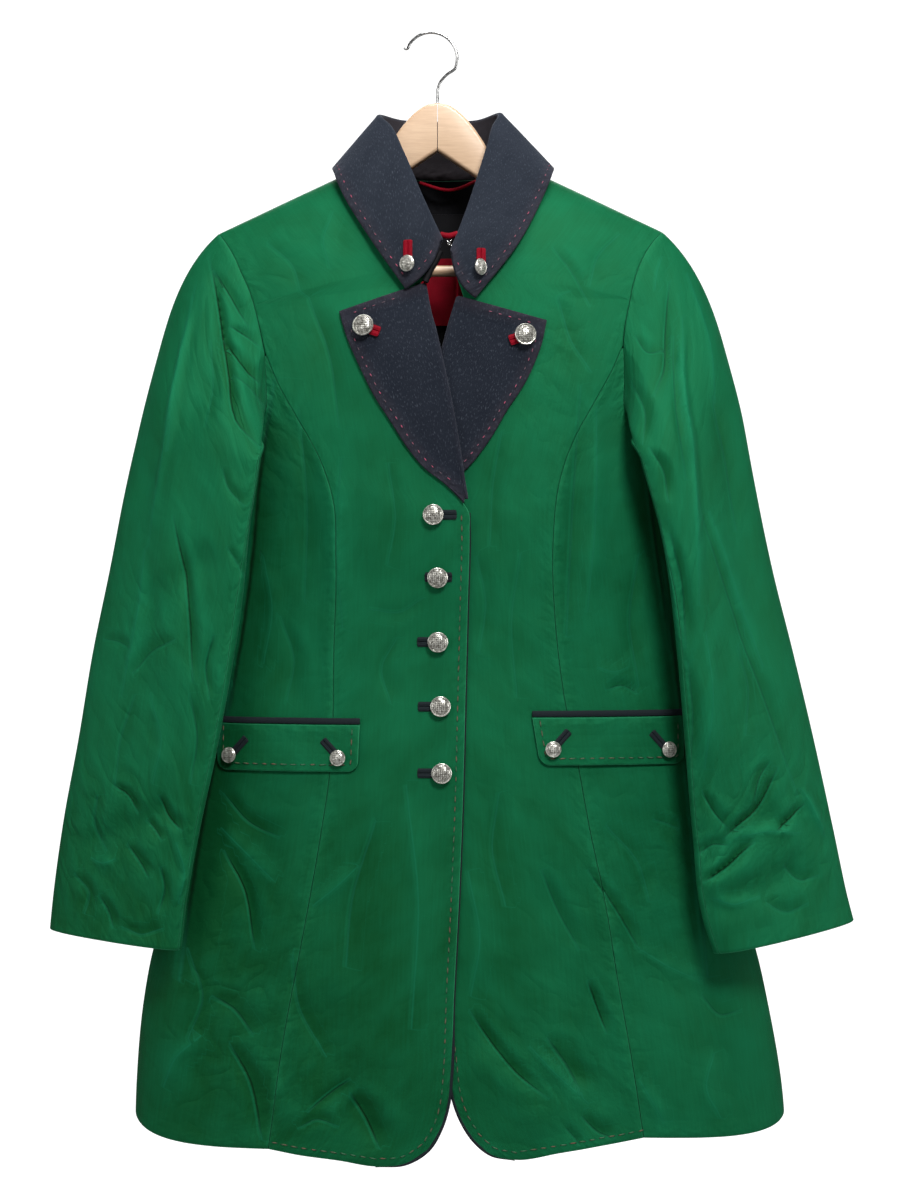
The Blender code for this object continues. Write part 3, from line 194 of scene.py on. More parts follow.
Lie = namedtuple("Lie", "outer_x outer_y outer_z inner_x inner_y inner_z front_depth back_depth")
SLEEVE_LEFT = table(
    Lie,
    (-2600, -140, -3580, -1480, -800, -3920, 220, 190),
    (-2705, -170, -4033, -1545, -800, -4372, 210, 190),
    (-2860, -220, -4838, -1640, -790, -5036, 200, 190),
    (-3003, -260, -5549, -1737, -780, -5664, 200, 190),
    (-3130, -300, -6344, -1883, -770, -6460, 200, 180),
    (-3258, -330, -7052, -2030, -760, -7140, 190, 180),
    (-3352, -360, -7765, -2150, -760, -7830, 180, 170),
    (-3374, -370, -8010, -2185, -760, -8140, 180, 170),
)
SLEEVE_RIGHT = table(
    Lie,
    (2765, -140, -3580, 1800, -800, -3890, 220, 190),
    (2845, -170, -4033, 1918, -800, -4329, 210, 190),
    (3008, -220, -4838, 2085, -790, -5036, 200, 190),
    (3186, -260, -5549, 2155, -780, -5664, 200, 190),
    (3375, -300, -6344, 2217, -770, -6460, 200, 180),
    (3530, -330, -7052, 2275, -760, -7170, 190, 180),
    (3680, -360, -7765, 2370, -760, -7920, 180, 170),
    (3724, -370, -7935, 2457, -760, -8180, 180, 170),
)

# The collar at a few places round the neck: its fold, and the lower edge of its fall, front end to front end.
CollarLie = namedtuple("CollarLie", "fold_x fold_y fold_z edge_x edge_y edge_z")
COLLAR = table(
    CollarLie,
    (97, -680, -1960, -235, -640, -2385),
    (-93, -520, -1521, -550, -540, -1925),
    (-250, -330, -1125, -789, -370, -1523),
    (-370, -150, -856, -880, -200, -1295),
    (-474, 20, -728, -900, 40, -1205),
    (-264, 370, -700, -580, 480, -1350),
    (70, 460, -695, 85, 570, -1390),
    (390, 370, -700, 760, 480, -1350),
    (603, 20, -712, 1090, 40, -1205),
    (540, -130, -850, 1075, -200, -1300),
    (480, -270, -1080, 963, -370, -1582),
    (330, -470, -1580, 760, -540, -1975),
    (158, -690, -2059, 385, -640, -2465),
)
COLLAR_ROLL = 0.0032
END_BELLY = 0.005  # how far the collar's front ends bow out between fold and point

Lapel = namedtuple("Lapel", "roll_x roll_z edge_x edge_z")
OVER_LAPEL = table(
    Lapel, (-48, -2335, -810, -2575), (-10, -2560, -738, -2804), (45, -2770, -628, -3061),
    (110, -3070, -498, -3326), (165, -3320, -360, -3548), (210, -3560, -220, -3771), (255, -3820, -68, -3955),
    (285, -4030, 115, -4094), (318, -4225, 285, -4250),
)
UNDER_LAPEL = table(
    Lapel, (215, -2445, 1005, -2650), (155, -2640, 965, -2840), (90, -2880, 900, -3020),
    (25, -3140, 796, -3235), (-25, -3360, 656, -3446), (-69, -3560, 516, -3686), (-110, -3800, 294, -3965),
    (-150, -4030, 71, -4120), (-195, -4230, -160, -4260),
)
LAPEL_ROLL = 0.0032
LAPEL_TUCK = 0.0047  # how far behind its roll a lapel is sewn to its front

FRONT_BUTTONS = table(Knot, (12, -4362), (52, -4905), (54, -5472), (76, -6039), (87, -6622))
HOLE_SHIFTS = [0.0085, 0.0005, -0.0065, -0.0080, -0.0095]  # each front buttonhole's centre from its button's
LAPEL_BUTTONS = table(Knot, (-575, -2731), (805, -2789))
# Where the front view shows each collar button, its hole, and how far the button is turned to its side.
COLLAR_BUTTONS = [(Knot(-0.0196, -0.2172), Knot(-0.0208, -0.2038), -0.30),
                  (Knot(0.0398, -0.2200), Knot(0.0428, -0.2108), 0.85)]
Flap = namedtuple("Flap", "near_x far_x top_z bottom_z slant buttons")
FLAPS = [  # on the over front, then on the under one
    Flap(-0.0628, -0.1900, -0.6203, -0.6615, 0.002, (Knot(-0.0813, -0.6492), Knot(-0.1769, -0.6487))),
    Flap(0.0878, 0.2225, -0.6138, -0.6560, 0.007, (Knot(0.1058, -0.6416), Knot(0.2066, -0.6432))),
]
WELT_HEIGHT = 0.0062

HangerArm = namedtuple("HangerArm", "x top bottom")  # x from the middle joint outwards
HANGER_MIDDLE = 0.0045
HANGER_ARM = table(
    HangerArm, (3, -631, -1064), (100, -650, -1128), (200, -715, -1196), (300, -820, -1262), (395, -950, -1330),
    (490, -1110, -1400), (600, -1250, -1480), (720, -1340, -1560), (1000, -1480, -1720), (1300, -1620, -1860),
    (1520, -1725, -1960), (1530, -1730, -2235), (1750, -1840, -2245), (1820, -1920, -2180),
)
BAR_HEIGHT = -0.2140
BAR_REACH = 0.1520  # half the bar's length, between the arms' inner faces

# Wire route in the hanger's plane, from the free tip over the arc and down to the wood.
HOOK_ARC = (-0.0012, -0.0220, 0.0234)  # centre x, centre z, radius to the wire's middle
HOOK_DEGREES = (158, -22)
HOOK_TAIL = [(0.0130, -0.0365), (0.0070, -0.0435), (0.0048, -0.0500), (0.0045, -0.0570)]

# The hanging loop: one short cord, sewn at both ends into the back neck seam.
HANG_LOOP = [(-0.0118, 0.0290, -0.1288), (-0.0060, 0.0275, -0.1310), (0.0010, 0.0265, -0.1335),
             (0.0080, 0.0260, -0.1354), (0.0150, 0.0260, -0.1361), (0.0225, 0.0262, -0.1350),
             (0.0300, 0.0268, -0.1322), (0.0360, 0.0275, -0.1292), (0.0397, 0.0285, -0.1275)]

# %% [markdown]
# ## Curves and surfaces
#
# A seam is a smooth curve through a few knots. The curve used here passes through every knot and takes its slope
# from the neighbours on both sides, which is how a flexible ruler behaves. The whole trunk is one surface: a
# squarish ellipse in plan whose width and depth change with height, and which closes towards the shoulder line.

# %% Smooth curves
def through(knots, keys=None):
    """A smooth curve through the knots, read at one key or at an array of them."""
    points = np.array(knots, float)
    if keys is None:
        steps = np.linalg.norm(np.diff(points, axis=0), axis=1)
        keys = np.concatenate([[0.0], np.cumsum(steps)]) / steps.sum()
    keys = np.array(keys, float)
    slopes = np.gradient(points, keys, axis=0)

    def at(key):
        key = np.clip(np.asarray(key, float), keys[0], keys[-1])
        i = np.clip(np.searchsorted(keys, key, side="right") - 1, 0, len(keys) - 2)
        span = (keys[i + 1] - keys[i])[..., None]
        t = (key - keys[i])[..., None] / span
        rise = (2 * t**3 - 3 * t**2 + 1) * points[i] + (3 * t**2 - 2 * t**3) * points[i + 1]
        return rise + span * ((t**3 - 2 * t**2 + t) * slopes[i] + (t**3 - t**2) * slopes[i + 1])

    return at


def ease(value, low, high):
    t = np.clip((value - low) / (high - low), 0.0, 1.0)
    return t * t * (3 - 2 * t)


def sampled(knots, count):
    """A smooth curve through the knots in so many steps."""
    return through(knots)(np.linspace(0, 1, count + 1))


# %% [markdown]
# Creases come in two sizes. The broad ones are part of the solids: they say how the skirt swings and where the
# sleeve bends. The narrow ones are only here, and are steeper on one side than on the other, because cloth that
# is pushed together folds over its own ridge. Each is a line on the front view with a width and a depth. None of
# them is repeated at even steps: that is what makes a drape look printed.

# %% Creases placed one by one
CREASE_STEPS = 16  # steps of a narrow crease's line
CREASE_REACH = 250  # a crease's width in millimetres over this is how far it is felt, in metres
CREASE_DEPTH = 650  # its depth over this is how high it stands, in metres
EDGE_OF_LINE = (0.75, 0.05)  # half the width of the line in a crease: millimetres, and a share of its width


def folded(x, z, table):
    """The sum of the creases at places of the front view."""
    total = np.zeros(np.broadcast(x, z).shape)
    for fold in table:
        run_x, run_z = fold.x1 - fold.x0, fold.z1 - fold.z0
        length = math.hypot(run_x, run_z)
        along = ((x - fold.x0) * run_x + (z - fold.z0) * run_z) / length**2
        across = ((x - fold.x0) * run_z - (z - fold.z0) * run_x) / length
        fade = ease(along, -0.12, 0.18) * (1 - ease(along, 0.82, 1.12))
        total += fold.depth * fade * np.exp(-((across / fold.width) ** 2))
    return total


def laid(*table):
    """Narrow creases from rows of millimetres: width, depth, then the points of a smooth line."""
    return [(width, depth, sampled(np.reshape(places, (-1, 2)) / 1000, CREASE_STEPS))
            for width, depth, *places in table]


def creased(x, z, creases):
    """The narrow creases: their height, the distance to the nearest line in shares of its width, its strength.

    A crease widens along its line, and is half as steep on one side as on the other, with a hollow beside it.
    """
    x, z = np.broadcast_arrays(x, z)
    total, nearest_line, strength = np.zeros(x.shape), np.full(x.shape, 9.0), np.zeros(x.shape)
    for width, depth, line in creases:
        low, high = line.min(axis=0) - width / CREASE_REACH, line.max(axis=0) + width / CREASE_REACH
        near = (x > low[0]) & (x < high[0]) & (z > low[1]) & (z < high[1])
        if not near.any():
            continue
        gap = np.stack([x[near], z[near]], axis=-1)[:, None] - line
        nearest = np.argmin((gap**2).sum(axis=-1), axis=1)
        steps = np.gradient(line, axis=0)[nearest]
        gap, step = gap[np.arange(len(gap)), nearest], np.linalg.norm(steps, axis=1)
        along = (nearest + (gap * steps).sum(axis=1) / step**2) / CREASE_STEPS
        aside = 1000 * (gap[:, 0] * steps[:, 1] - gap[:, 1] * steps[:, 0]) / step
        line_off = aside / (EDGE_OF_LINE[0] + EDGE_OF_LINE[1] * width)
        aside = aside / (width * (0.38 + 0.3 * along)) * np.where(aside < 0, 0.5, 1.1)
        fade = ease(along, -0.12, 0.22) * (1 - ease(along, 0.70, 1.12))
        pinch = np.exp(-np.abs(aside) ** 1.2) - 0.40 * np.exp(-(((aside + 1.4) / 0.8) ** 2))
        total[near] += depth / CREASE_DEPTH * fade * pinch
        closer = (np.abs(line_off) < np.abs(nearest_line[near])) & (fade > 0.02)
        bold = math.copysign(min(max(abs(depth) - 0.9, 0.06) / 1.7, 1.0 if depth < 0 else 0.10), depth)
        bold = bold * fade * (1 - ease(np.abs(line_off), 2.2, 3.6))
        nearest_line[near] = np.where(closer, line_off, nearest_line[near])
        strength[near] = np.where(closer, bold, strength[near])
    return total, nearest_line, strength


def uneven(x, z):
    """The faint swells that no cloth is without: waves that bend each other, so that none of them is a row."""
    total = 0.0
    for k in range(1, 10):
        wave = 24 * 1.31**k
        phase = wave * (x * math.cos(2.4 * k) + z * math.sin(2.4 * k)) + 1.7 * k * k
        total = total + SWELL / wave * np.sin(phase + 900 * total)
    return total


def rumpled(x, z):
    """How crumpled the cloth is, from 0, freshly pressed, to 1."""
    total = 0.12
    for at_x, at_z, reach_x, reach_z, strength in RUMPLES:
        total = total + strength * np.exp(-(((x - at_x) / reach_x) ** 2) - ((z - at_z) / reach_z) ** 2)
    return np.minimum(total, 1.0)


SWELL = 0.013  # how steep the faint swells are
# Where the cloth was crushed: the forearms and elbows, below the left pocket, and here and there at the hem.
RUMPLES = [
    (-0.285, -0.715, 0.060, 0.070, 0.90), (-0.235, -0.560, 0.050, 0.080, 0.45), (-0.180, -0.300, 0.050, 0.090, 0.55),
    (0.290, -0.715, 0.070, 0.070, 0.85), (0.225, -0.470, 0.040, 0.120, 0.35), (0.200, -0.280, 0.040, 0.060, 0.30),
    (-0.175, -0.860, 0.070, 0.120, 0.60), (-0.090, -0.940, 0.060, 0.045, 0.50), (0.100, -0.930, 0.070, 0.050, 0.55),
    (0.180, -0.800, 0.060, 0.080, 0.35), (0.105, -0.300, 0.035, 0.080, 0.35), (-0.140, -0.400, 0.030, 0.120, 0.20),
]
Fold = namedtuple("Fold", "x0 z0 x1 z1 width depth")
FRONT_FOLDS = table(
    Fold, (-1500, -7000, -2150, -9600, 220, -50), (-1050, -8600, -600, -9850, 200, -35),
    (-1850, -7400, -2480, -9400, 200, 40), (1000, -7450, 1450, -9600, 220, -45),
    (1900, -7000, 2680, -9500, 240, -50), (400, -9050, 1000, -9750, 180, 30),
    (-1200, -4200, -1600, -5600, 240, -35), (1350, -4200, 1950, -5600, 240, -35),
    (-1900, -3100, -2620, -4200, 160, -50), (-2350, -3000, -2250, -6000, 180, 45),
    (-1900, -4700, -2550, -5200, 140, -40), (-2250, -6900, -3100, -7300, 140, -40),
    (2050, -3300, 2400, -6400, 160, 45), (2550, -3100, 2850, -5600, 180, -40),
    (2350, -7400, 3000, -6900, 140, -40), (2400, -7800, 3300, -7400, 140, -35),
)
BACK_FOLDS = table(
    Fold, (-600, -5600, -1300, -9600, 260, -50), (850, -5600, 1700, -9600, 260, -50),
    (0, -7000, 100, -9750, 240, 30), (-1200, -2600, -700, -4800, 240, -35), (1400, -2600, 950, -4800, 240, -35),
    (-2150, -3300, -2700, -5600, 180, -45), (2350, -3300, 2900, -5600, 180, -45),
)

# The narrow creases, in millimetres: width, depth, then the points of the line. Front: drags of the skirt, pulls
# beside the buttons and below the chest.
FRONT_CREASES = laid(
    (46, -2.6, -143, -340, -153, -404, -161, -482, -171, -550, -186, -630),
    (54, -2.6, -183, -600, -195, -656, -209, -734, -222, -830), (30, -2.2, 187, -350, 196, -433, 211, -540),
    (32, -2.2, 209, -500, 221, -598, 231, -695, 242, -820),
    (9, -1.8, -184, -684, -159, -709, -136, -719), (10, 1.8, -185, -715, -164, -735, -142, -756),
    (8, -2.6, -182, -737, -167, -764, -157, -814), (13, -2, -192, -862, -175, -871, -158, -892),
    (13, -3.6, -176, -906, -161, -932, -150, -982), (8, -2.2, -73, -932, -89, -943, -108, -959),
    (13, -3, -70, -945, -58, -964, -47, -987), (8, 1.1, -102, -777, -86, -764, -66, -745),
    (18, 2.2, -207, -898, -228, -917, -238, -941), (9, -1.2, -122, -826, -116, -870, -96, -906),
    (17, -1.3, -52, -712, -70, -773, -75, -826), (15, 1.2, -21, -686, -12, -773, -17, -870),
    (6, -1.6, -116, -973, -100, -966, -84, -971), (12, -1.5, -214, -826, -203, -861, -215, -896),
    (9, -0.8, -32, -546, -44, -570, -37, -598), (7, -2.4, 37, -876, 56, -903, 77, -927, 97, -943),
    (8, 1.7, 88, -904, 109, -926, 135, -950), (14, -1.8, 102, -896, 117, -917, 130, -941),
    (7, -2.2, 140, -752, 159, -778, 182, -817), (8, 1.2, 182, -817, 207, -833, 236, -847),
    (8, -1.5, 98, -752, 110, -782, 128, -815), (6, -2.4, 138, -848, 145, -868, 153, -889),
    (7, 1.5, 183, -933, 193, -950, 204, -969), (9, -1.8, 132, -964, 147, -978, 158, -982),
    (5, -1.5, 117, -973, 126, -983, 130, -989), (5, -1.4, 197, -705, 207, -708, 218, -713),
    (12, -1, 156, -712, 182, -743, 191, -773), (11, -1.5, 240, -862, 256, -878, 272, -875),
    (14, 1.5, 249, -913, 242, -941, 254, -966), (15, -1.1, 58, -686, 53, -729, 63, -773),
    (14, 1, 33, -756, 42, -808, 35, -852), (7, -1.2, 109, -202, 123, -220, 138, -248),
    (12, -1, 112, -248, 123, -283, 138, -306), (13, -1.3, 130, -337, 124, -423, 119, -528),
    (9, 0.8, 145, -353, 144, -440, 138, -510), (4.5, -1.6, 156, -589, 166, -586, 182, -593),
    (5, 0.7, 147, -570, 161, -574, 173, -570), (9, -1, 60, -370, 54, -405, 51, -458),
    (12, -0.9, 40, -476, 47, -510, 42, -554), (14, -1.2, -107, -248, -89, -300, -82, -353),
    (12, -1.1, -116, -353, -110, -423, -112, -502), (13, 0.9, -80, -397, -84, -458, -79, -528),
    (10, -0.8, -37, -397, -32, -440, -38, -476), (8, -0.7, -10, -510, -28, -521, -52, -519),
    (9, -1.1, -133, -528, -122, -563, -128, -598), (9, 1, -149, -476, -142, -519, -149, -563),
    (11, -1.2, 182, -476, 175, -528, 182, -580), (13, -0.8, 77, -476, 70, -528, 74, -589),
    (12, -1, -144, -195, -124, -214, -116, -239), (12, -1, 165, -186, 147, -206, 140, -230),
    (9, 0.8, -89, -169, -96, -192, -91, -214),
)
# The back drags from the shoulder blades to the waist and swings into the skirt.
BACK_CREASES = laid(
    (11, -2, -110, -165, -92, -235, -60, -320), (10, -1.8, 128, -170, 104, -240, 80, -310),
    (7, -2.2, -150, -330, -132, -372, -104, -404), (7, -2.4, 170, -322, 152, -360, 122, -410),
    (9, -1.8, -120, -466, -72, -500, -22, -508), (8, -2, 152, -456, 110, -494, 60, -506),
    (8, -1.2, -50, -430, -10, -446, 30, -436), (12, 2.2, -84, -600, -108, -690, -116, -790),
    (9, -2, -58, -640, -76, -740, -70, -850), (12, -2.2, 40, -640, 62, -770, 56, -905),
    (10, 2.4, 138, -660, 166, -760, 186, -880), (8, -1.7, 110, -700, 124, -800, 140, -860),
    (11, -2.4, -190, -680, -214, -790, -228, -905), (9, 1.6, -22, -840, -26, -900, -40, -962),
    (9, -2, 222, -760, 240, -850, 246, -945), (8, -1.8, -140, -905, -126, -935, -132, -965),
    (7, 1.7, 94, -900, 110, -930, 104, -962), (11, -1, 20, -200, 36, -260, 30, -330),
    (10, 1, -30, -250, -40, -330, -32, -400), (8, -1.6, -160, -560, -172, -610, -164, -660),
    (8, -1.6, 176, -540, 186, -600, 180, -650),
)

# %% [markdown]
# The trunk's surface is read by plan angle and height: 0 degrees is the centre front, 90 the side seam. Front and
# back are two half surfaces that share the side seam and the shoulder line, so their panels always meet. Where
# one front laps over the other, the upper one stands forward by its own thickness and a little more.

# %% The trunk's surface
ring_at = through([row[1:] for row in reversed(BODY)], [row.z for row in reversed(BODY)])
CREASES = {"front": FRONT_CREASES, "back": BACK_CREASES}


def plan_angle(x, z):
    centre, half_width = np.moveaxis(ring_at(z)[..., :2], -1, 0)
    across = np.clip((x - centre) / half_width, -1.0, 1.0)
    return np.copysign(np.arcsin(np.abs(across) ** (1 / ROUNDNESS)), across)


def on_shoulder(x):
    return Knot(x, SHOULDER_APEX[1] - SHOULDER_SLOPE * np.hypot(x - SHOULDER_APEX[0], SHOULDER_EASE))


def shoulder_fall(x, z, face):
    """0 on the shoulder line, growing to 1 below it."""
    drop = np.maximum(on_shoulder(x).z - z, 0.0)
    return 1 - np.exp(-((drop / SHOULDER_SOFTNESS[face]) ** SHOULDER_POWER))


def lap(x, z):
    """How far the over front stands forward of the under front, and over its lapel."""
    height = LAP * (1 - ease(z, -0.27, -0.22)) + LAP_LAPEL * ease(z, -0.60, -0.43) * (1 - ease(z, -0.30, -0.24))
    return height * ease(x, -0.11, -0.03)


def relief(x, z, face):
    return creased(x, z, CREASES[face])[0]


def crease_marks(x, z, face):
    """What the finish needs to know about the creases at each point."""
    depth, line, strength = creased(x, z, CREASES[face])
    return {"relief": depth, "line": line, "pressed": strength, "rumple": rumpled(x, z)}


def body_point(angle, z, face, layer):
    """The trunk's surface at a plan angle and a height."""
    centre, half_width, front_depth, back_depth = np.moveaxis(ring_at(z), -1, 0)
    x = centre + half_width * np.copysign(np.abs(np.sin(angle)) ** ROUNDNESS, angle)
    bulge = np.maximum(np.cos(angle), 0.0) ** ROUNDNESS * shoulder_fall(x, z, face)
    sign, depth, folds = (1, back_depth, BACK_FOLDS) if face == "back" else (-1, front_depth, FRONT_FOLDS)
    y = sign * (depth + folded(x, z, folds) + relief(x, z, face) + uneven(x, z)) * bulge
    if face == "front" and layer == "over":
        y = y - lap(x, z)
    return np.stack(np.broadcast_arrays(x, y, z), axis=-1)


def unit(vectors):
    return vectors / np.maximum(np.linalg.norm(vectors, axis=-1, keepdims=True), 1e-12)


def body_normal(angle, z, face, layer):
    """The body's normal. At the side seams and on the shoulder line front and back share one, with no y."""
    turn, rise, side = 0.02, 0.003, math.pi / 2
    around = body_point(np.minimum(angle + turn, side), z, face, layer)
    around = around - body_point(np.maximum(angle - turn, -side), z, face, layer)
    down = body_point(angle, z - rise, face, layer) - body_point(angle, z + rise, face, layer)
    normal = np.cross(down, around) * (-1 if face == "back" else 1)
    shared = ease(np.abs(body_point(angle, z, face, layer)[..., 1]), 0.0004, 0.0060)
    normal = unit(normal)
    normal[..., 1] *= shared
    return unit(normal)


def front_at(x, z, layer, out=0.0, face="front"):
    """The cloth's point at a place in the front view, moved out along its normal, and that normal."""
    x, z = np.broadcast_arrays(np.asarray(x, float), np.asarray(z, float))
    step = 0.004

    def at(px, pz):
        return body_point(plan_angle(px, pz), pz, face, layer)

    normal = unit(np.cross(at(x, z - step) - at(x, z + step), at(x + step, z) - at(x - step, z)))
    normal *= (np.copysign(1.0, normal[..., 1]) * (1 if face == "back" else -1))[..., None]
    return at(x, z) + np.asarray(out)[..., None] * normal, normal


print("waist", np.round(body_point(0.0, -0.52, "front", "over"), 4))

# %% [markdown]
# ## A wall of cloth
#
# A sheet of cloth is a grid of points with a second, inner skin one thickness behind it. Solidify does the same
# from a modifier. Extruding the grid and moving the copy along known normals is used here instead, because two
# panels that meet at a seam then lean the same way there and close without a step.
#
# The outermost row of each edge is let down by a third of the wall, so light catches a soft rounded edge. The UV
# map holds real metres along and across the cloth, which makes the weave the same size on every piece. The "rim"
# attribute holds the distance to the nearest edge, for wear, pressing, and a line of painted light and shade along
# it, and "seam" that to the nearest side that is sewn to another piece, where shade is painted into the seam.

# %% Cloth walls
RIM_EASE = 0.0007  # how wide a rounded edge is
RIM_DROP, RIM_WALL = 0.33, 0.67  # in walls: how far the edge is let down, and what is left of it
RIMS = [(0,), (-1,), (slice(None), 0), (slice(None), -1)]


def lengthways(points, axis):
    """Real distance along the grid's rows or columns, from the first point."""
    steps = np.linalg.norm(np.diff(points, axis=axis), axis=2)
    start = np.zeros_like(np.take(steps, [0], axis=axis))
    return np.concatenate([start, np.cumsum(steps, axis=axis)], axis=axis)


def eased_rims(points, normals, wall):
    """One more row inside every edge, and the edge itself let down, so that it is rounded."""
    for axis in (0, 1):
        steps = np.linalg.norm(np.diff(points, axis=axis), axis=2)
        for place, inside in ((0, 1), (-1, -2)):
            edge, beside = np.take(points, place, axis), np.take(points, inside, axis)
            share = np.clip(RIM_EASE / np.maximum(np.take(steps, place, axis), 1e-6), 0.0, 0.45)[:, None]
            edge_normal, beside_normal = np.take(normals, place, axis), np.take(normals, inside, axis)
            row = edge + (beside - edge) * share
            row_normal = unit(edge_normal + (beside_normal - edge_normal) * share)
            insert = 1 if place == 0 else points.shape[axis] - 1
            points = np.insert(points, insert, row, axis=axis)
            normals = np.insert(normals, insert, row_normal, axis=axis)
            points[(slice(None),) * axis + (place,)] = edge - edge_normal * wall * RIM_DROP
    return points, normals


def verts_of(made):
    """The vertices among what an operator made."""
    return [item for item in made if isinstance(item, bmesh.types.BMVert)]


def face_outward(bm):
    bmesh.ops.recalc_face_normals(bm, faces=bm.faces)


FULL = "_full"  # marks the piece that stands for a solid of the same name


def linked(name, bm, kind):
    """The bmesh as an object with its material, in the scene."""
    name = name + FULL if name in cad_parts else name
    mesh = bpy.data.meshes.new(name)
    bm.to_mesh(mesh)
    bm.free()
    mesh.materials.append(bpy.data.materials.get(kind) or bpy.data.materials.new(kind))
    piece = bpy.data.objects.new(name, mesh)
    bpy.context.scene.collection.objects.link(piece)
    return piece


def smoothed(piece, sharp):
    piece.data.shade_smooth()
    piece.data.set_sharp_from_angle(angle=math.radians(sharp))
    return piece


def finished(name, bm, kind, sharp=50.0):
    return smoothed(linked(name, bm, kind), sharp)


def inner_at(points, normals, wall):
    """The inner skin: one wall behind the outer one, also under the let-down rims."""
    inner = points - wall * normals
    for rim in RIMS:
        inner[rim] = points[rim] - wall * RIM_WALL * normals[rim]
    return inner


def read(items, key, kind=float, width=1):
    """One value, or a few, of every item of a mesh."""
    values = np.zeros(width * len(items), kind)
    items.foreach_get(key, values)
    return values


def cloth(name, points, normals, wall, kind, marks={}, sewn=""):
    """A wall of cloth from a grid of points on its outer side and the normals there, and the sides that are sewn."""
    points, normals = eased_rims(points, normals, wall)
    rows, columns = points.shape[:2]
    across, down = lengthways(points, 1), lengthways(points, 0)
    sides = {"left": across, "right": across[:, -1:] - across, "top": down, "bottom": down[-1:] - down}
    rim = np.minimum.reduce(list(sides.values())).reshape(-1)
    seam = np.minimum.reduce([0 * across + 1] + [sides[key] for key in sewn.split()]).reshape(-1)
    bm = bmesh.new()
    place, inside = bm.verts.layers.int.new("place"), bm.verts.layers.float.new("inside")
    bmesh.ops.create_grid(bm, x_segments=columns - 1, y_segments=rows - 1, size=0.5)
    for vert in bm.verts:
        row, column = round((0.5 - vert.co.y) * (rows - 1)), round((vert.co.x + 0.5) * (columns - 1))
        vert[place] = row * columns + column
    made = bmesh.ops.extrude_face_region(bm, geom=list(bm.faces), use_keep_orig=True)["geom"]
    copies = verts_of(made)
    for vert in copies:
        vert[inside] = 1.0
    bmesh.ops.translate(bm, verts=copies, vec=(0, 0, -1))
    face_outward(bm)
    piece = linked(name, bm, kind)
    mesh = piece.data
    k, within = read(mesh.attributes["place"].data, "value", int), read(mesh.attributes["inside"].data, "value")
    skins = np.stack([points.reshape(-1, 3), inner_at(points, normals, wall).reshape(-1, 3)])
    mesh.vertices.foreach_set("co", skins[within.astype(int), k].reshape(-1))
    held = {"rim": rim[k], "seam": seam[k]}
    held.update({key: np.pad(values, 1, mode="edge").reshape(-1)[k] for key, values in marks.items()})
    for key, values in held.items():
        mesh.attributes.new(key, "FLOAT", "POINT").data.foreach_set("value", values.astype(np.float32))
    corners = read(mesh.loops, "vertex_index", int)
    flat = np.stack([across.reshape(-1), down.reshape(-1)], axis=1)[k[corners]]
    mesh.uv_layers.new(name="UVMap").data.foreach_set("uv", flat.reshape(-1))
    mesh.update()
    facing = read(mesh.vertices, "normal", width=3)
    if (facing.reshape(-1, 3) * normals.reshape(-1, 3)[k] * (1 - 2 * within[:, None])).sum() < 0:
        mesh.flip_normals()
    mesh.attributes.remove(mesh.attributes["place"])
    return smoothed(piece, 50.0)


def grid_normals(points, outward):
    """A grid's own normals, turned to agree with a rough outward direction at its middle."""
    normals = unit(np.cross(np.gradient(points, axis=0), np.gradient(points, axis=1)))
    middle = normals[len(points) // 2, len(points[0]) // 2]
    return normals * math.copysign(1.0, middle @ np.array(outward, float))


FORWARD, BACKWARD, UPWARD = (0, -1, 0), (0, 1, 0), (0, 0, 1)
pieces = {}


def worn(piece):
    """A finished piece rides on the one body and stands for its solid, which is hidden."""
    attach(piece, "root")
    solid = piece.name.removesuffix(FULL)
    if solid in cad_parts:
        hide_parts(solid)
    pieces[solid] = piece
    return piece


def laid_cloth(name, points, outward, wall, kind, marks={}):
    """A piece of cloth that takes its normals from its own grid, worn in its place."""
    piece = worn(cloth(name, points, grid_normals(points, outward), wall, kind, marks))
    print(piece.name, len(piece.data.polygons), "faces")
    return piece

# %% [markdown]
# ## Panels of the trunk
#
# The trunk is cut in six: two centre fronts, two side fronts joined to them by princess seams that curve from
# the armhole to the hem, and two backs with a centre seam. A panel is filled in between its four seams, the way
# a draughtsman fills a boundary: each inner row is a blend of the two side seams, and carries the shape of the
# top seam near the shoulder and of the hem near the bottom. It could also be cut out of the whole surface with
# Boolean tools, but then its threads would not run along its seams.

# %% Seams that two panels share
FINE = 10  # rows of the fine grids for each row of the solids
ARMHOLE_ROWS, LOW_ROWS, BACK_ROWS, SKIRT_ROWS, NECK_ROWS = 8 * FINE, 5 * FINE, 9 * FINE, 13 * FINE, 5 * FINE
PRINCESS_ROWS = LOW_ROWS + SKIRT_ROWS
FRONT_COLUMNS, SIDE_COLUMNS, NECK_COLUMNS, BACK_COLUMNS = 72, 54, 22, 46
JUNCTION_DROP = 0.018  # on the free edge the armhole's rows end this far below the top of the princess seam

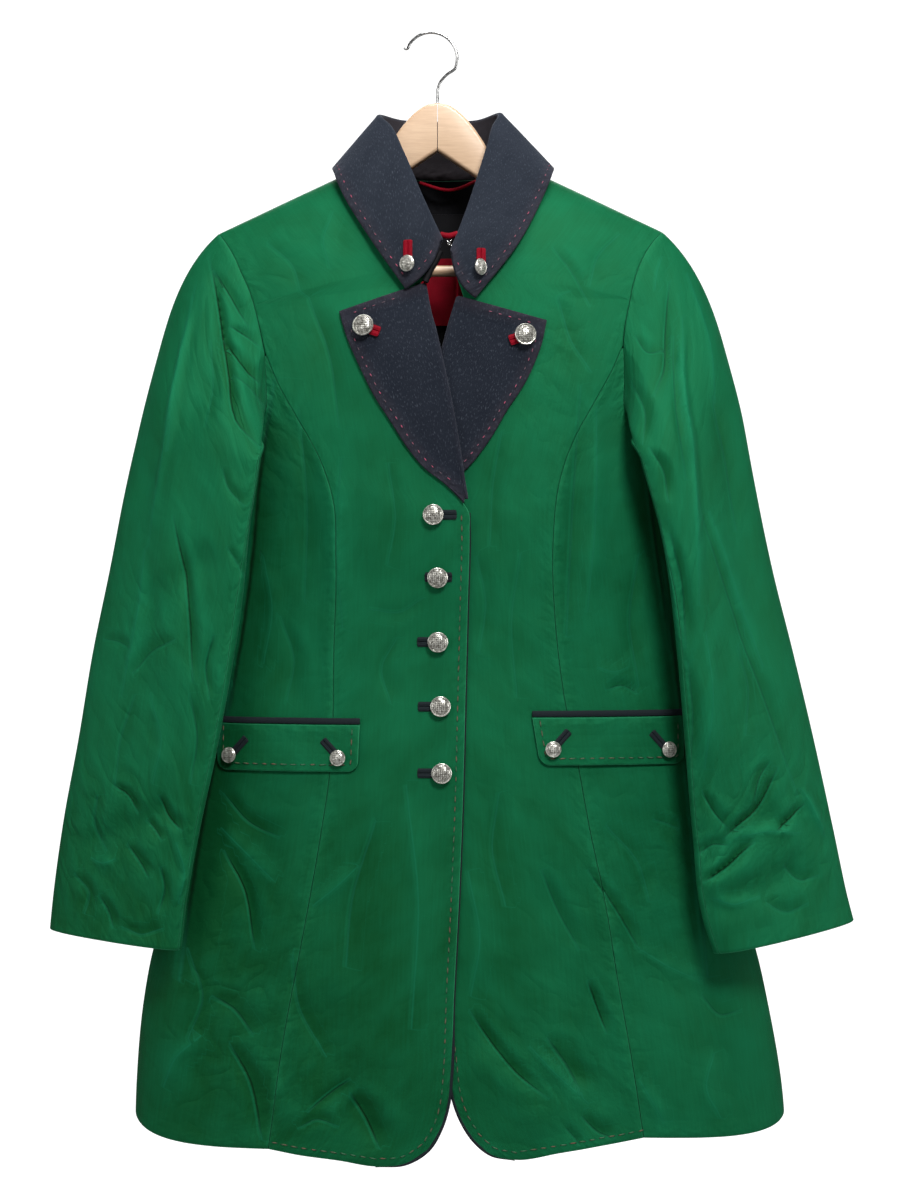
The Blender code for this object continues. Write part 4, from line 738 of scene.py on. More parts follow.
Half = namedtuple("Half", "layer sign tip neck lapel edge corner hem princess armhole low back_armhole sleeve")
TIP_LEFT, TIP_RIGHT = on_shoulder(TIP_LEFT_X), on_shoulder(TIP_RIGHT_X)
HALVES = {
    "right": Half("over", -1, TIP_LEFT, [on_shoulder(NECK_LEFT_X)] + OVER_NECK, OVER_LAPEL, OVER_EDGE, OVER_CORNER,
                  HEM_LEFT, PRINCESS_LEFT, [TIP_LEFT] + ARMHOLE_FRONT_LEFT, ARMHOLE_LOW_LEFT,
                  [TIP_LEFT] + ARMHOLE_BACK_LEFT, SLEEVE_LEFT),
    "left": Half("under", 1, TIP_RIGHT, [on_shoulder(NECK_RIGHT_X)] + UNDER_NECK, UNDER_LAPEL, UNDER_EDGE,
                 UNDER_CORNER, HEM_RIGHT, PRINCESS_RIGHT, [TIP_RIGHT] + ARMHOLE_FRONT_RIGHT, ARMHOLE_LOW_RIGHT,
                 [TIP_RIGHT] + ARMHOLE_BACK_RIGHT, SLEEVE_RIGHT),
}


def angled(knots):
    """Knots of the front view as plan angles and heights."""
    knots = np.array(knots, float)
    return np.stack([plan_angle(knots[:, 0], knots[:, 1]), knots[:, 1]], axis=1)


def shoulder(half, columns):
    """The shoulder seam from the neck to the tip."""
    x = np.linspace(half.neck[0].x, half.tip.x, columns + 1)
    return np.stack([x, on_shoulder(x).z], axis=1)


def free_edge(half):
    """The front's free edge, a row for each of the front's rows. Along a lapel it stays behind the roll."""
    tucked = [Knot(row.roll_x + half.sign * (LAPEL_TUCK + 5 * SEAM), row.roll_z) for row in half.lapel]
    knots = list(half.neck) + tucked + list(half.edge)
    at = through([(x,) for x, _ in knots], [-z for _, z in knots])
    junction = half.princess[0].z - JUNCTION_DROP
    z = np.concatenate([np.linspace(half.neck[0].z, half.neck[-1].z, NECK_ROWS + 1),
                        np.linspace(tucked[0].z, junction, ARMHOLE_ROWS - NECK_ROWS),
                        np.linspace(junction, half.edge[-1].z, PRINCESS_ROWS + 1)[1:]])
    return np.stack([plan_angle(at(-z)[:, 0], z), z], axis=1)


def princess(half):
    return angled(sampled(half.princess, PRINCESS_ROWS))


def spread_round(knots, count):
    """Samples of a seam given by plan angles and heights, spread evenly along the cloth."""
    even = sampled([(angle * RADIAN_OF_CLOTH, z) for angle, z in knots], count)
    return even / np.array([RADIAN_OF_CLOTH, 1.0])


def low_armhole(half):
    knots = [(math.radians(degrees), z) for degrees, z in half.low]
    knots[0] = tuple(angled([half.princess[0]])[0])
    return spread_round(knots, LOW_ROWS)


def back_armhole(half):
    knots = [tuple(point) for point in angled(half.back_armhole)]
    return spread_round(knots + [(half.sign * math.pi / 2, UNDERARM)], BACK_ROWS)


def side_seam(half):
    z = np.linspace(UNDERARM, SIDE_HEM, SKIRT_ROWS + 1)
    return np.stack([np.full_like(z, half.sign * math.pi / 2), z], axis=1)


def filled_in(left, right, top, bottom):
    """Angles and heights between four seams. The hem's shape is carried only into the lowest rows."""
    t = np.linspace(0, 1, len(left))[:, None, None]
    s = np.linspace(0, 1, len(top))[None, :, None]
    top_bow = top[None] - (1 - s) * top[0] - s * top[-1]
    hem_bow = bottom[None] - (1 - s) * bottom[0] - s * bottom[-1]
    sides = (1 - s) * left[:, None] + s * right[:, None]
    return sides + (1 - ease(t, 0.0, 0.45)) * top_bow + ease(t, 0.72, 1.0) * hem_bow


def body_panel(name, grid, face, half, sewn):
    angle, z = grid[..., 0], grid[..., 1]
    points, normals = body_point(angle, z, face, half.layer), body_normal(angle, z, face, half.layer)
    marks = crease_marks(points[..., 0], z, face)
    return worn(cloth(name, points, normals, CLOTH, "shell_green", marks, sewn))


# %% [markdown]
# The centre fronts carry the neck, the free edge with its rounded corner at the hem, and the armhole's front.

# %% Centre fronts, side fronts and backs
def centre_front(name, half):
    outer = np.concatenate([angled(sampled(half.armhole, ARMHOLE_ROWS)), princess(half)[1:]])
    top = angled(shoulder(half, FRONT_COLUMNS))
    bottom = angled(sampled(list(half.corner) + list(half.hem), FRONT_COLUMNS))
    return body_panel(f"front_{name}", filled_in(free_edge(half), outer, top, bottom), "front", half,
                      "right top")


def side_front(name, half):
    inner = princess(half)
    outer = np.concatenate([low_armhole(half), side_seam(half)[1:]])
    s = np.linspace(0, 1, SIDE_COLUMNS + 1)[:, None]
    top = (1 - s) * inner[0] + s * outer[0]
    bottom = (1 - s) * inner[-1] + s * outer[-1] + np.array([0, -0.008]) * np.sin(math.pi * s)
    grid = filled_in(inner, outer, top, bottom)
    grid[0] += SIDE_FRONT_TIP * FINE * (grid[1] - grid[0])
    return body_panel(f"side_front_{name}", grid, "front", half, "left right top")


def back_top(half):
    """The back neck from the centre seam out, then the shoulder to its tip."""
    side = half.neck[0]
    neck = sampled([NECK_BACK, (0.5 * (NECK_BACK[0] + side.x), -0.1245), side], NECK_COLUMNS)
    return angled(np.concatenate([neck[:-1], shoulder(half, BACK_COLUMNS)]))


def back(name, half):
    outer = np.concatenate([back_armhole(half), side_seam(half)[1:]])
    top = back_top(half)
    z = np.linspace(NECK_BACK[1], BACK_HEM, len(outer))
    centre = np.stack([plan_angle(ring_at(z)[:, 0], z), z], axis=1)
    centre[0] = top[0]
    s = np.linspace(0, 1, len(top))[:, None]
    bottom = (1 - s) * centre[-1] + s * outer[-1]
    return body_panel(f"back_{name}", filled_in(centre, outer, top, bottom), "back", half, "left right top")


for side_name, half in HALVES.items():
    for build in (centre_front, side_front, back):
        piece = build(side_name, half)
        print(piece.name, len(piece.data.polygons), "faces")

# %% [markdown]
# ## Sleeves
#
# A tailored sleeve is cut in two pieces, a wide upper one and a narrow one under the arm, and is fuller at its
# head than the armhole that it is sewn into. Empty, it hangs nearly flat. The whole sleeve is one tube here: its
# rows start on the armhole, swing over into a flattened oval, and follow the arm down to the cuff. Then the tube
# is parted along its two seams.

# %% Sleeves
CAP_ROWS, TUBE_ROWS = 5 * FINE, 14 * FINE
ARMPIT_FULLNESS = 0.0085
ARMPIT_SWELL = namedtuple("Swell", "out z reach")(0.0015, -0.392, 0.040)  # the fuller cloth below the armpit
SEAM_DEGREES = 12.0  # where on the oval section the sleeve's front seam lies
START_TUCK = 0.0003  # how far inside its armhole a sleeve starts at the front
SEAM_SHOWS = 0.0008  # how much of the under sleeve shows past its seam
LOW_CORNER = ARMHOLE_ROWS + 3 * FINE  # the armhole sample where the upper sleeve ends at the front
ELBOW_SEAM = ARMHOLE_ROWS + LOW_ROWS + 3 * FINE  # and the one where it ends at the back
SLEEVE_CREASES = {
    -1: laid(  # the sleeve on the viewer's left
        (6.5, -3.2, -197, -216, -189, -256, -179, -310, -169, -355, -154, -372),
        (5.5, -2.6, -193, -219, -181, -238, -164, -266), (5, -2, -177, -269, -165, -276, -149, -289),
        (6, -3, -182, -283, -169, -300, -152, -319), (6, -1.4, -172, -314, -157, -326, -146, -342),
        (5, 1.5, -214, -247, -224, -310, -236, -379, -245, -448),
        (4, 1.1, -219, -269, -227, -329, -231, -372), (6, -2.4, -222, -447, -211, -516, -207, -573),
        (5, -1.6, -189, -543, -195, -566, -192, -594), (8, -1.5, -260, -573, -243, -555, -223, -546),
        (6, -1.3, -289, -545, -276, -547, -262, -554), (5, -1.4, -181, -398, -177, -412, -163, -428),
        (5, -1.2, -176, -466, -165, -483, -160, -493), (8, -1, -195, -286, -193, -321, -197, -355),
        (5, -2.4, -276, -673, -265, -680, -257, -694), (5, -1.9, -248, -702, -241, -709, -234, -718),
        (6, -2.6, -236, -681, -229, -697, -217, -709), (6, -2.1, -265, -723, -255, -736, -246, -750),
        (6, -1.9, -289, -769, -282, -781, -277, -795), (6, 1.4, -298, -736, -288, -740, -276, -736),
        (6, -1.8, -234, -743, -231, -761, -236, -780), (6, 1.4, -220, -723, -215, -743, -219, -769),
        (7, -1.4, -312, -752, -300, -766, -303, -783), (8, -1.3, -293, -683, -296, -709, -286, -728),
        (7, -1.2, -267, -795, -252, -800, -234, -795), (7, -1.5, -208, -597, -203, -631, -208, -666),
        (10, -1.2, -260, -597, -272, -631, -276, -666), (9, 1, -243, -597, -234, -631, -241, -666),
        (9, 1.2, -252, -476, -258, -528, -270, -588),
    ),
    1: laid(
        (5, 2.4, 221, -278, 219, -325, 225, -379, 228, -438, 230, -498),
        (6, -1.4, 213, -286, 212, -338, 218, -398), (5, 1.4, 205, -205, 200, -219, 198, -234),
        (8, -1.9, 211, -234, 206, -278, 204, -307, 196, -328),
        (5, 2.2, 200, -450, 207, -481, 212, -519, 215, -554), (6, -1.6, 208, -459, 216, -493, 220, -545),
        (7, -1.5, 235, -438, 256, -498, 276, -557, 297, -614, 315, -666),
        (10, 1.2, 245, -442, 266, -502, 287, -562), (6, -3.8, 238, -753, 256, -742, 279, -722),
        (6, -3.2, 257, -714, 269, -705, 282, -695, 300, -661), (5.5, -2.8, 301, -711, 313, -702, 325, -690),
        (6, 2.4, 325, -678, 333, -693, 345, -717), (6, -1.9, 235, -678, 244, -693, 256, -707),
        (6, 1.9, 268, -716, 292, -712, 318, -714), (5, -1.8, 281, -683, 285, -666, 294, -652),
        (5, -1.7, 231, -730, 242, -723, 257, -723), (8, 1.4, 245, -769, 261, -774, 283, -768),
        (8, -1.4, 309, -743, 323, -755, 337, -752), (9, -1.2, 292, -774, 309, -782, 326, -776),
        (9, -1.2, 268, -554, 276, -588, 273, -623), (9, 1.3, 237, -545, 242, -597, 237, -648),
        (7, -1.4, 223, -571, 226, -614, 223, -657), (6, -1.5, 180, -278, 190, -292, 204, -290),
        (7, -1.3, 176, -321, 185, -347, 183, -372), (12, -1.3, 249, -338, 261, -390, 268, -442),
        (12, 1.2, 231, -226, 245, -278, 250, -329), (6, -1.5, 190, -381, 200, -398, 204, -424),
    ),
}


def armhole_ring(half):
    """The armhole as points: down the front from the tip, under the arm, and up the back to the tip again."""
    front = np.concatenate([angled(sampled(half.armhole, ARMHOLE_ROWS)), low_armhole(half)[1:]])
    behind = back_armhole(half)[:-1][::-1]
    points = np.concatenate([body_point(front[:, 0], front[:, 1], "front", half.layer),
                             body_point(behind[:, 0], behind[:, 1], "back", half.layer)])
    return points[:-1]


def sleeve_sections(stations, degrees):
    """Flattened oval sections, a row for each station and a column for each angle round the sleeve."""
    outer, inner = stations[:, None, 0:3], stations[:, None, 3:6]
    angle = np.radians(degrees)[None, :]
    half = (outer - inner) / 2
    front = np.stack([half[..., 1], -half[..., 0], np.zeros_like(half[..., 0])], axis=-1)
    front = unit(front * np.copysign(1.0, -front[..., 1:2]))
    reach = np.copysign(np.abs(np.cos(angle)) ** ROUNDNESS, np.cos(angle))[..., None]
    swell = np.copysign(np.abs(np.sin(angle)) ** ROUNDNESS, np.sin(angle))[..., None]
    depth = np.where(swell > 0, stations[:, None, 6:7], stations[:, None, 7:8])
    return (outer + inner) / 2 - half * reach + front * depth * swell


def sleeve_grid(half):
    """Rows from the armhole to the cuff, a column for each armhole sample."""
    ring = armhole_ring(half)
    count = len(ring)
    corners = [0, LOW_CORNER, ARMHOLE_ROWS + LOW_ROWS, count]
    degrees = np.interp(range(count), corners, [180.0, SEAM_DEGREES, -62.0, -180.0])
    tube = sleeve_sections(sampled(half.sleeve, TUBE_ROWS), degrees)
    head = tube[0]
    front = np.sin(np.radians(degrees))
    inner, behind = np.maximum(np.cos(np.radians(degrees)), 0.0), np.maximum(-front, 0.0)
    away = np.stack([half.sign * (0.85 - 0.6 * inner + 0.5 * behind), -0.35 * front - 0.8 * inner,
                     -0.45 + 0.3 * behind], axis=1)
    start = ring + (-START_TUCK + (ARMHOLE_STEP + 0.0004) * behind)[:, None] * away
    length = np.linalg.norm(head - start, axis=1, keepdims=True)
    leave = length * (0.75 * away + 0.35 * (head - start) / length)
    arrive = 0.9 * length * unit(tube[FINE] - head)
    t = np.linspace(0, 1, CAP_ROWS + 1)[:, None, None]
    cap = (2 * t**3 - 3 * t**2 + 1) * start + (3 * t**2 - 2 * t**3) * head
    cap = cap + (t**3 - 2 * t**2 + t) * leave + (t**3 - t**2) * arrive
    cap[..., 0] -= half.sign * ARMPIT_FULLNESS * (inner**2 * np.sin(math.pi * t[..., 0]) ** 1.6)
    grid = np.concatenate([cap, tube[1:]])
    height = grid[..., 2]
    swell = np.exp(-(((height - ARMPIT_SWELL.z) / ARMPIT_SWELL.reach) ** 2))
    grid[..., 0] -= half.sign * ARMPIT_SWELL.out * inner**2 * swell
    # High up the under sleeve stays behind the seam, and doesn't look out past it.
    seam_x = grid[:, [LOW_CORNER], 0]
    past = half.sign * (seam_x - grid[..., 0])
    rows = np.arange(len(grid))[:, None] / CAP_ROWS
    hidden = (degrees < SEAM_DEGREES) * ease(degrees, -95.0, -55.0) * ease(height, -0.53, -0.43)
    hidden = hidden * ease(rows, 0.30, 0.70)
    grid[..., 0] += half.sign * np.maximum(past - SEAM_SHOWS, 0.0) * 0.96 * hidden
    return grid


def tube_normals(grid):
    around = np.roll(grid, -1, axis=1) - np.roll(grid, 1, axis=1)
    normals = unit(np.cross(np.gradient(grid, axis=0), around))
    centre = grid.mean(axis=1, keepdims=True)
    return normals * math.copysign(1.0, (normals * (grid - centre))[-1].sum())


def creased_sleeve(grid, half):
    """The sleeve's creases, pressed into the faces that look forward or back."""
    normals = tube_normals(grid)
    x, z = grid[..., 0], grid[..., 2]
    own = SLEEVE_CREASES[half.sign]
    near, far, swells = creased(x, z, own), creased(x - 0.012, z + 0.020, own), uneven(x, z + 0.3 * grid[..., 1])
    front, behind = folded(x, z, FRONT_FOLDS) + near[0], folded(x - 0.012, z + 0.020, BACK_FOLDS) + far[0]
    depth = np.where(normals[..., 1] < 0, front, behind) * np.abs(normals[..., 1])
    depth = depth + swells * normals[..., 1] ** 2
    start = ease(np.arange(len(grid)) / FINE, 0.0, 0.9)[:, None]
    shown = [np.where(normals[..., 1] < 0, *pair) for pair in zip(near, far)]
    facing = ease(np.abs(normals[..., 1]), 0.10, 0.45)
    marks = {"relief": shown[0] * start, "line": shown[1], "pressed": shown[2] * start * facing,
             "rumple": rumpled(x, z)}
    return grid + normals * (depth * start)[..., None], marks


def sleeve(name, half):
    grid, marks = creased_sleeve(sleeve_grid(half), half)
    normals = tube_normals(grid)
    count = grid.shape[1]
    upper = [k % count for k in range(ELBOW_SEAM, count + LOW_CORNER + 1)]
    under = list(range(LOW_CORNER, ELBOW_SEAM + 1))
    for kind, columns in (("upper", upper), ("under", under)):
        own = {key: values[:, columns] for key, values in marks.items()}
        piece = worn(cloth(f"sleeve_{kind}_{name}", grid[:, columns], normals[:, columns], CLOTH, "shell_green", own,
                           sewn="left right top"))
        print(piece.name, len(piece.data.polygons), "faces")


for side_name, half in HALVES.items():
    sleeve(side_name, half)

# %% [markdown]
# ## Collar
#
# The collar stands up from the neck seam, folds over, and falls to its edge. Its cross-section is short: a
# straight stand, a half circle at the fold, and a fall with a little belly. The section is carried round the
# neck while a table of its lies, front end to front end, says how high it folds and how far it spreads. The
# stand's inner face, in shade inside the neck, is painted a browner colour.

# %% Collar
STAND_STEPS, ROLL_STEPS, FALL_STEPS = 10, 12, 20
COLLAR_PLACES = [0.0, 0.14, 0.25, 0.325, 0.37, 0.44, 0.50, 0.56, 0.63, 0.675, 0.75, 0.86, 1.0]
COLLAR_COLUMNS = 190


def neckline():
    """The neck seam round from one front end to the other, sampled evenly."""
    lines = []
    for half in HALVES.values():
        front, behind = free_edge(half)[: NECK_ROWS + 1], back_top(half)[:NECK_COLUMNS]
        lines += [body_point(front[:, 0], front[:, 1], "front", half.layer),
                  body_point(behind[:, 0], behind[:, 1], "back", half.layer)]
    front_right, back_right, front_left, back_left = lines
    seam = np.concatenate([front_right[::-1], back_right[::-1], back_left[1:], front_left])
    steps = np.linalg.norm(np.diff(seam, axis=0), axis=1)
    places = np.concatenate([[0.0], np.cumsum(steps)]) / steps.sum()
    even = np.linspace(0, 1, COLLAR_COLUMNS + 1)
    return even, np.stack([np.interp(even, places, seam[:, k]) for k in range(3)], axis=1)


def collar_section(seam, fold, edge, belly):
    """Up the stand from the neck seam, round the fold, and down the fall to its edge."""
    up = unit(fold - (seam + edge) / 2)
    side = unit((edge - seam) - ((edge - seam) @ up) * up)
    centre = fold - COLLAR_ROLL * up
    foot, brink = centre - COLLAR_ROLL * side, centre + COLLAR_ROLL * side
    rise = np.linspace(0, 1, STAND_STEPS, endpoint=False)[:, None]
    turn = np.linspace(0, math.pi, ROLL_STEPS + 1)[:, None]
    fall = np.linspace(0, 1, FALL_STEPS + 1)[1:, None]
    return np.concatenate([
        seam + (foot - seam) * rise,
        centre + COLLAR_ROLL * (np.sin(turn) * up - np.cos(turn) * side),
        brink + (edge - brink) * fall + 4 * fall * (1 - fall) * belly,
    ])


def collar_grid():
    places, seam = neckline()
    seam[:, 2] += 2 * SEAM
    lies = through(COLLAR, COLLAR_PLACES)(places)
    grid = []
    for place, foot, lie in zip(places, seam, lies):
        end = max(1 - place / 0.10, 1 - (1 - place) / 0.10, 0.0)
        bow = (1 if place < 0.5 else -1) * END_BELLY * end
        grid.append(collar_section(foot, lie[0:3], lie[3:6], np.array([bow, -0.003, -0.6 * END_BELLY * end])))
    return np.array(grid)


collar_lines = collar_grid()
stand = 1 - ease(np.arange(collar_lines.shape[1]), STAND_STEPS + 1.0, STAND_STEPS + ROLL_STEPS * 0.5)
laid_cloth("collar", collar_lines, UPWARD, FELTED, "collar_navy", {"stand": stand + 0 * collar_lines[..., 0]})

# %% [markdown]
# ## Lapels
#
# A lapel is the top of the front turned over. It starts at a seam hidden behind the roll, bends round the roll,
# and lies back over the front with a slight spring, so its outer edge casts a soft shadow.

# %% Lapels
LAPEL_ROWS, LAPEL_BENDS, LAPEL_COLUMNS = 72, 10, 34
TUCK_SHARE = 0.35  # the roll starts this share of the way from the hidden seam
LAPEL_GAP = 0.0006  # between a lapel and its front
LAPEL_SPRING, EDGE_LIFT = 0.0018, 0.0010  # how far it springs off the front near its roll, and at its edge


def lapel_grid(half):
    """From the seam behind the roll, round the roll, and back over the front to the lapel's edge."""
    sign = half.sign
    grid = []
    for roll_x, roll_z, edge_x, edge_z in sampled(half.lapel, LAPEL_ROWS):
        base, normal = front_at(roll_x + sign * LAPEL_TUCK, roll_z, half.layer)
        back_face = base - CLOTH * normal
        toward = np.array([-sign * LAPEL_TUCK, 0.0, 0.0])
        centre = back_face + toward * TUCK_SHARE + LAPEL_ROLL * normal
        turns = np.arange(1, LAPEL_BENDS)[:, None] * math.pi / LAPEL_BENDS
        roll = centre + LAPEL_ROLL * (np.sin(turns) * toward / LAPEL_TUCK - np.cos(turns) * normal)
        s = np.linspace(0.03, 1, LAPEL_COLUMNS + 1)
        x = roll_x + sign * 0.003 + (edge_x - roll_x - sign * 0.003) * s
        z = roll_z + (edge_z - roll_z) * s
        width = min(abs(edge_x - roll_x) / 0.05, 1.0)
        lift = FELTED + LAPEL_GAP + LAPEL_SPRING * (1 - s) * width + EDGE_LIFT * s**4
        face = front_at(x, z, half.layer, lift)[0]
        grid.append(np.concatenate([[back_face, back_face + toward * TUCK_SHARE], roll, face]))
    return np.array(grid)


for side_name, half in HALVES.items():
    laid_cloth(f"lapel_{side_name}", lapel_grid(half), FORWARD, FELTED - 0.0002, "collar_navy")

# %% [markdown]
# ## Pockets
#
# Each pocket has a navy welt, and under it a green flap that is buttoned down at both lower corners. The corners
# are rounded by sliding the grid's own corner points onto a quarter circle, which keeps the threads straight.

# %% Pocket flaps and welts
FLAP_CORNER = 0.0090
WELT, WELT_SWELL = 0.0020, 0.0006  # a welt's thickness, and how far its middle stands up


def flap_grid(flap, top, bottom, columns, rows):
    z = np.linspace(top, bottom, rows + 1)[:, None]
    depth = np.maximum((flap.top_z - z) / (flap.top_z - flap.bottom_z), 0.0)
    near = flap.near_x + math.copysign(flap.slant, flap.far_x) * depth
    x = near + (flap.far_x - near) * np.linspace(0, 1, columns + 1)[None, :]
    return x, z + 0 * x


def rounded_corners(x, z, radius):
    """Slides the two lower corners of a flap onto a quarter circle."""
    x, z = x.copy(), z.copy()
    for column in (0, -1):
        inward = np.sign(x[:, [-1 - column]] - x[:, [column]])
        a = np.clip(1 - np.abs(x - x[:, [column]]) / radius, 0, 1)
        b = np.clip(1 - (z - z[-1]) / radius, 0, 1)
        x = x + inward * radius * a * (1 - np.sqrt(1 - b**2 / 2))
        z = z + radius * b * (1 - np.sqrt(1 - a**2 / 2))
    return x, z


for flap, (side_name, half) in zip(FLAPS, HALVES.items()):
    x, z = flap_grid(flap, flap.top_z + WELT_HEIGHT, flap.top_z + 0.0004, 48, 6)
    roundness = WELT_SWELL * np.sin(math.pi * np.linspace(0, 1, 7))[:, None]
    points = front_at(x, z, half.layer, WELT + LAID_GAP + roundness)[0]
    laid_cloth(f"pocket_welt_{side_name}", points, FORWARD, WELT, "trim_navy")
    x, z = rounded_corners(*flap_grid(flap, flap.top_z, flap.bottom_z, 60, 24), FLAP_CORNER)
    drop = np.linspace(0, 1, 25)[:, None]
    bow = 0.0006 * np.sin(3.2 * drop) + 0.0005 * np.sin(48 * x + 1.0) * drop
    points = front_at(x, z, half.layer, CLOTH + LAID_GAP + bow)[0]
    laid_cloth(f"pocket_flap_{side_name}", points, FORWARD, CLOTH, "shell_green", crease_marks(x, z, "front"))

# %% [markdown]
# ## Buttonholes
#
# The holes are bound: two rolled lips of cloth with the slit between them, closed at both ends. One small grid
# makes them all. Its cross-section rises into the two lips, and its ends are drawn together into round ones.

# %% Bound buttonholes
def framed(normal, up_hint):
    """Two directions in the cloth's face, and the one out of it."""
    normal = unit(np.array(normal, float))
    along = unit(np.cross(up_hint, normal))
    return along, np.cross(normal, along), normal


HOLE_RIB = 0.45  # how far the threads of a lip stand up, in shares of its wall


def bound_hole(name, centre, axes, length, width, kind):
    along, across, normal = axes
    bm = bmesh.new()
    uv = bm.loops.layers.uv.new("UVMap")
    bmesh.ops.create_grid(bm, x_segments=44, y_segments=16, size=1.0)
    base = set(verts_of(bmesh.ops.extrude_face_region(bm, geom=list(bm.faces), use_keep_orig=True)["geom"]))
    for face in bm.faces:
        for loop in face.loops:
            loop[uv].uv = (loop.vert.co.x * length / 2, loop.vert.co.y * width / 2)
    for vert in bm.verts:
        u, v = vert.co.x, vert.co.y
        straight = 1 - 0.4 * width / length
        end = min(max((abs(u) - straight) / (1 - straight), 0.0), 1.0)
        half_width = width / 2 * math.sqrt(max(1 - end**5, 0.30))
        lips = math.sin(math.pi * min(abs(v) * 1.02, 1.0)) ** 0.7 * (1 - end**3)
        closed = 0.55 * math.sqrt(max(1 - v * v, 0.0)) * end
        thread = HOLE_RIB * abs(math.sin(v * 2.5 * math.pi))
        rise = 0.0 if vert in base else HOLE_WALL * (0.35 + 0.85 * max(lips, closed) + thread)
        vert.co = Vector(centre + along * u * length / 2 + across * v * half_width + normal * rise)
    face_outward(bm)
    return finished(name, bm, kind, 60.0)


# %% [markdown]
# ## Buttons
#
# The buttons are cast domes with a cut surface: small square facets in rows, blackened between them, inside a
# plain turned rim. The rim and the hollow back are one profile spun round the middle. The crown is a square grid
# bent onto a dome, because its rows are the rows of the facets. A spun crown would crowd them at the middle.

# %% Cast buttons
# All of a button's measures are in shares of its radius.
BUTTON_RIM = [(0.00, 0.00), (0.30, 0.00), (0.30, 0.10), (0.66, 0.12), (0.88, 0.20), (0.97, 0.30), (1.00, 0.40),
              (0.985, 0.49), (0.93, 0.54), (0.875, 0.53), (0.855, 0.47)]
CROWN_FOOT, CROWN_HIGH, CROWN_WIDE, CROWN_CUT = 0.31, 0.44, 0.86, 0.93
JOINT_DEEP = 0.035  # the joints between the facets


def crown_place(u, v):
    """A place of a square moved onto a disc, so that its rows stay rows."""
    return u * math.sqrt(1 - v * v / 2), v * math.sqrt(1 - u * u / 2)


def button(name, foot, axes, diameter, facets=9):
    along, across, normal = axes
    radius = diameter / 2
    bm = bmesh.new()
    joint = bm.verts.layers.float.new("joint")
    chain = [bm.verts.new((r, 0.0, h)) for r, h in BUTTON_RIM]
    edges = [bm.edges.new(pair) for pair in zip(chain, chain[1:])]
    bmesh.ops.spin(bm, geom=chain + edges, angle=2 * math.pi, steps=40, axis=(0, 0, 1), cent=(0, 0, 0),
                   use_merge=True)
    crown = bmesh.ops.create_grid(bm, x_segments=4 * facets, y_segments=4 * facets, size=1.0)["verts"]
    for vert in crown:
        steps = [round((value + 1) / 2 * 4 * facets) for value in vert.co.xy]
        cells = [min(step // 4, facets - 1) for step in steps]
        shares = [(0.0, 0.17, 0.5, 0.83, 1.0)[step - 4 * cell] for step, cell in zip(steps, cells)]
        u, v = ((cell + share) * 2 / facets - 1 for cell, share in zip(cells, shares))
        x, y = crown_place(u, v)
        away = math.hypot(x, y)
        in_joint = any(step % 4 == 0 for step in steps)
        flat_x, flat_y = crown_place(*((cell + 0.5) * 2 / facets - 1 for cell in cells))
        deep = max(1 - (CROWN_CUT * math.hypot(flat_x, flat_y)) ** 2, 0.12)
        tilt = 0.05 * math.sin(7.1 * cells[0] + 3.3 * cells[1]), 0.05 * math.cos(5.3 * cells[0] - 4.7 * cells[1])
        facet = CROWN_FOOT + CROWN_HIGH * math.sqrt(deep) + (x - flat_x) * tilt[0] + (y - flat_y) * tilt[1]
        facet -= CROWN_HIGH * 0.865 * ((x - flat_x) * flat_x + (y - flat_y) * flat_y) / math.sqrt(deep)
        round_dome = CROWN_FOOT + CROWN_HIGH * math.sqrt(max(1 - (CROWN_CUT * away) ** 2, 0.0))
        height = round_dome - JOINT_DEEP if in_joint else min(facet, round_dome + 0.03)
        vert[joint] = 1.0 if in_joint else 0.0
        vert.co = (x * CROWN_WIDE, y * CROWN_WIDE, height + (round_dome - height) * ease(away, 0.90, 1.0))
    bmesh.ops.remove_doubles(bm, verts=bm.verts, dist=1e-5)
    face_outward(bm)
    for vert in bm.verts:
        x, y, h = vert.co * radius
        vert.co = Vector(foot + x * along + y * across + h * normal)
    return finished(name, bm, "button_metal", 14.0)


# %% [markdown]
# Every fastening sits on the cloth that carries it, and faces the way that cloth faces.

# %% Fastenings in their places
def collar_place(x, z):
    """The point of the collar's fall that the front view shows at a place, and the normal there."""
    lines = collar_lines[:, STAND_STEPS + ROLL_STEPS:]
    off = np.hypot(lines[..., 0] - x, lines[..., 2] - z) + (lines[..., 1] > -0.030)
    column, row = np.unravel_index(np.argmin(off[1:-1, 1:-1]), off[1:-1, 1:-1].shape) + np.array([1, 1])
    around, down = lines[column + 1, row] - lines[column - 1, row], lines[column, row + 1] - lines[column, row - 1]
    normal = unit(np.cross(around, down))
    normal *= math.copysign(1.0, -normal[1])
    point = lines[column, row]
    aside = np.array([x - point[0], 0.0, z - point[2]])
    aside[1] = -(aside @ normal) / normal[1]
    return point + aside, normal


UP, SIDE = np.array([0.0, 0.0, 1.0]), np.array([1.0, 0.0, 0.0])
LAPEL_RISE = FELTED + 0.0032  # the top of a lapel over its front
FLAP_RISE = CLOTH + LAID_GAP
fastened = []


def fasten(name, hole_at, long, wide, kind, hole_up, foot_at, diameter, facets=9, turn=0.0):
    """A bound hole and its button. Each place is a point and the way that the cloth faces there."""
    point, normal = hole_at
    fastened.append(worn(bound_hole(f"buttonhole_{name}", point, framed(normal, hole_up), long, wide, kind)))
    foot, normal = foot_at
    axes = framed(normal + turn * SIDE, UP)
    fastened.append(worn(button(f"button_{name}", foot, axes, diameter, facets)))


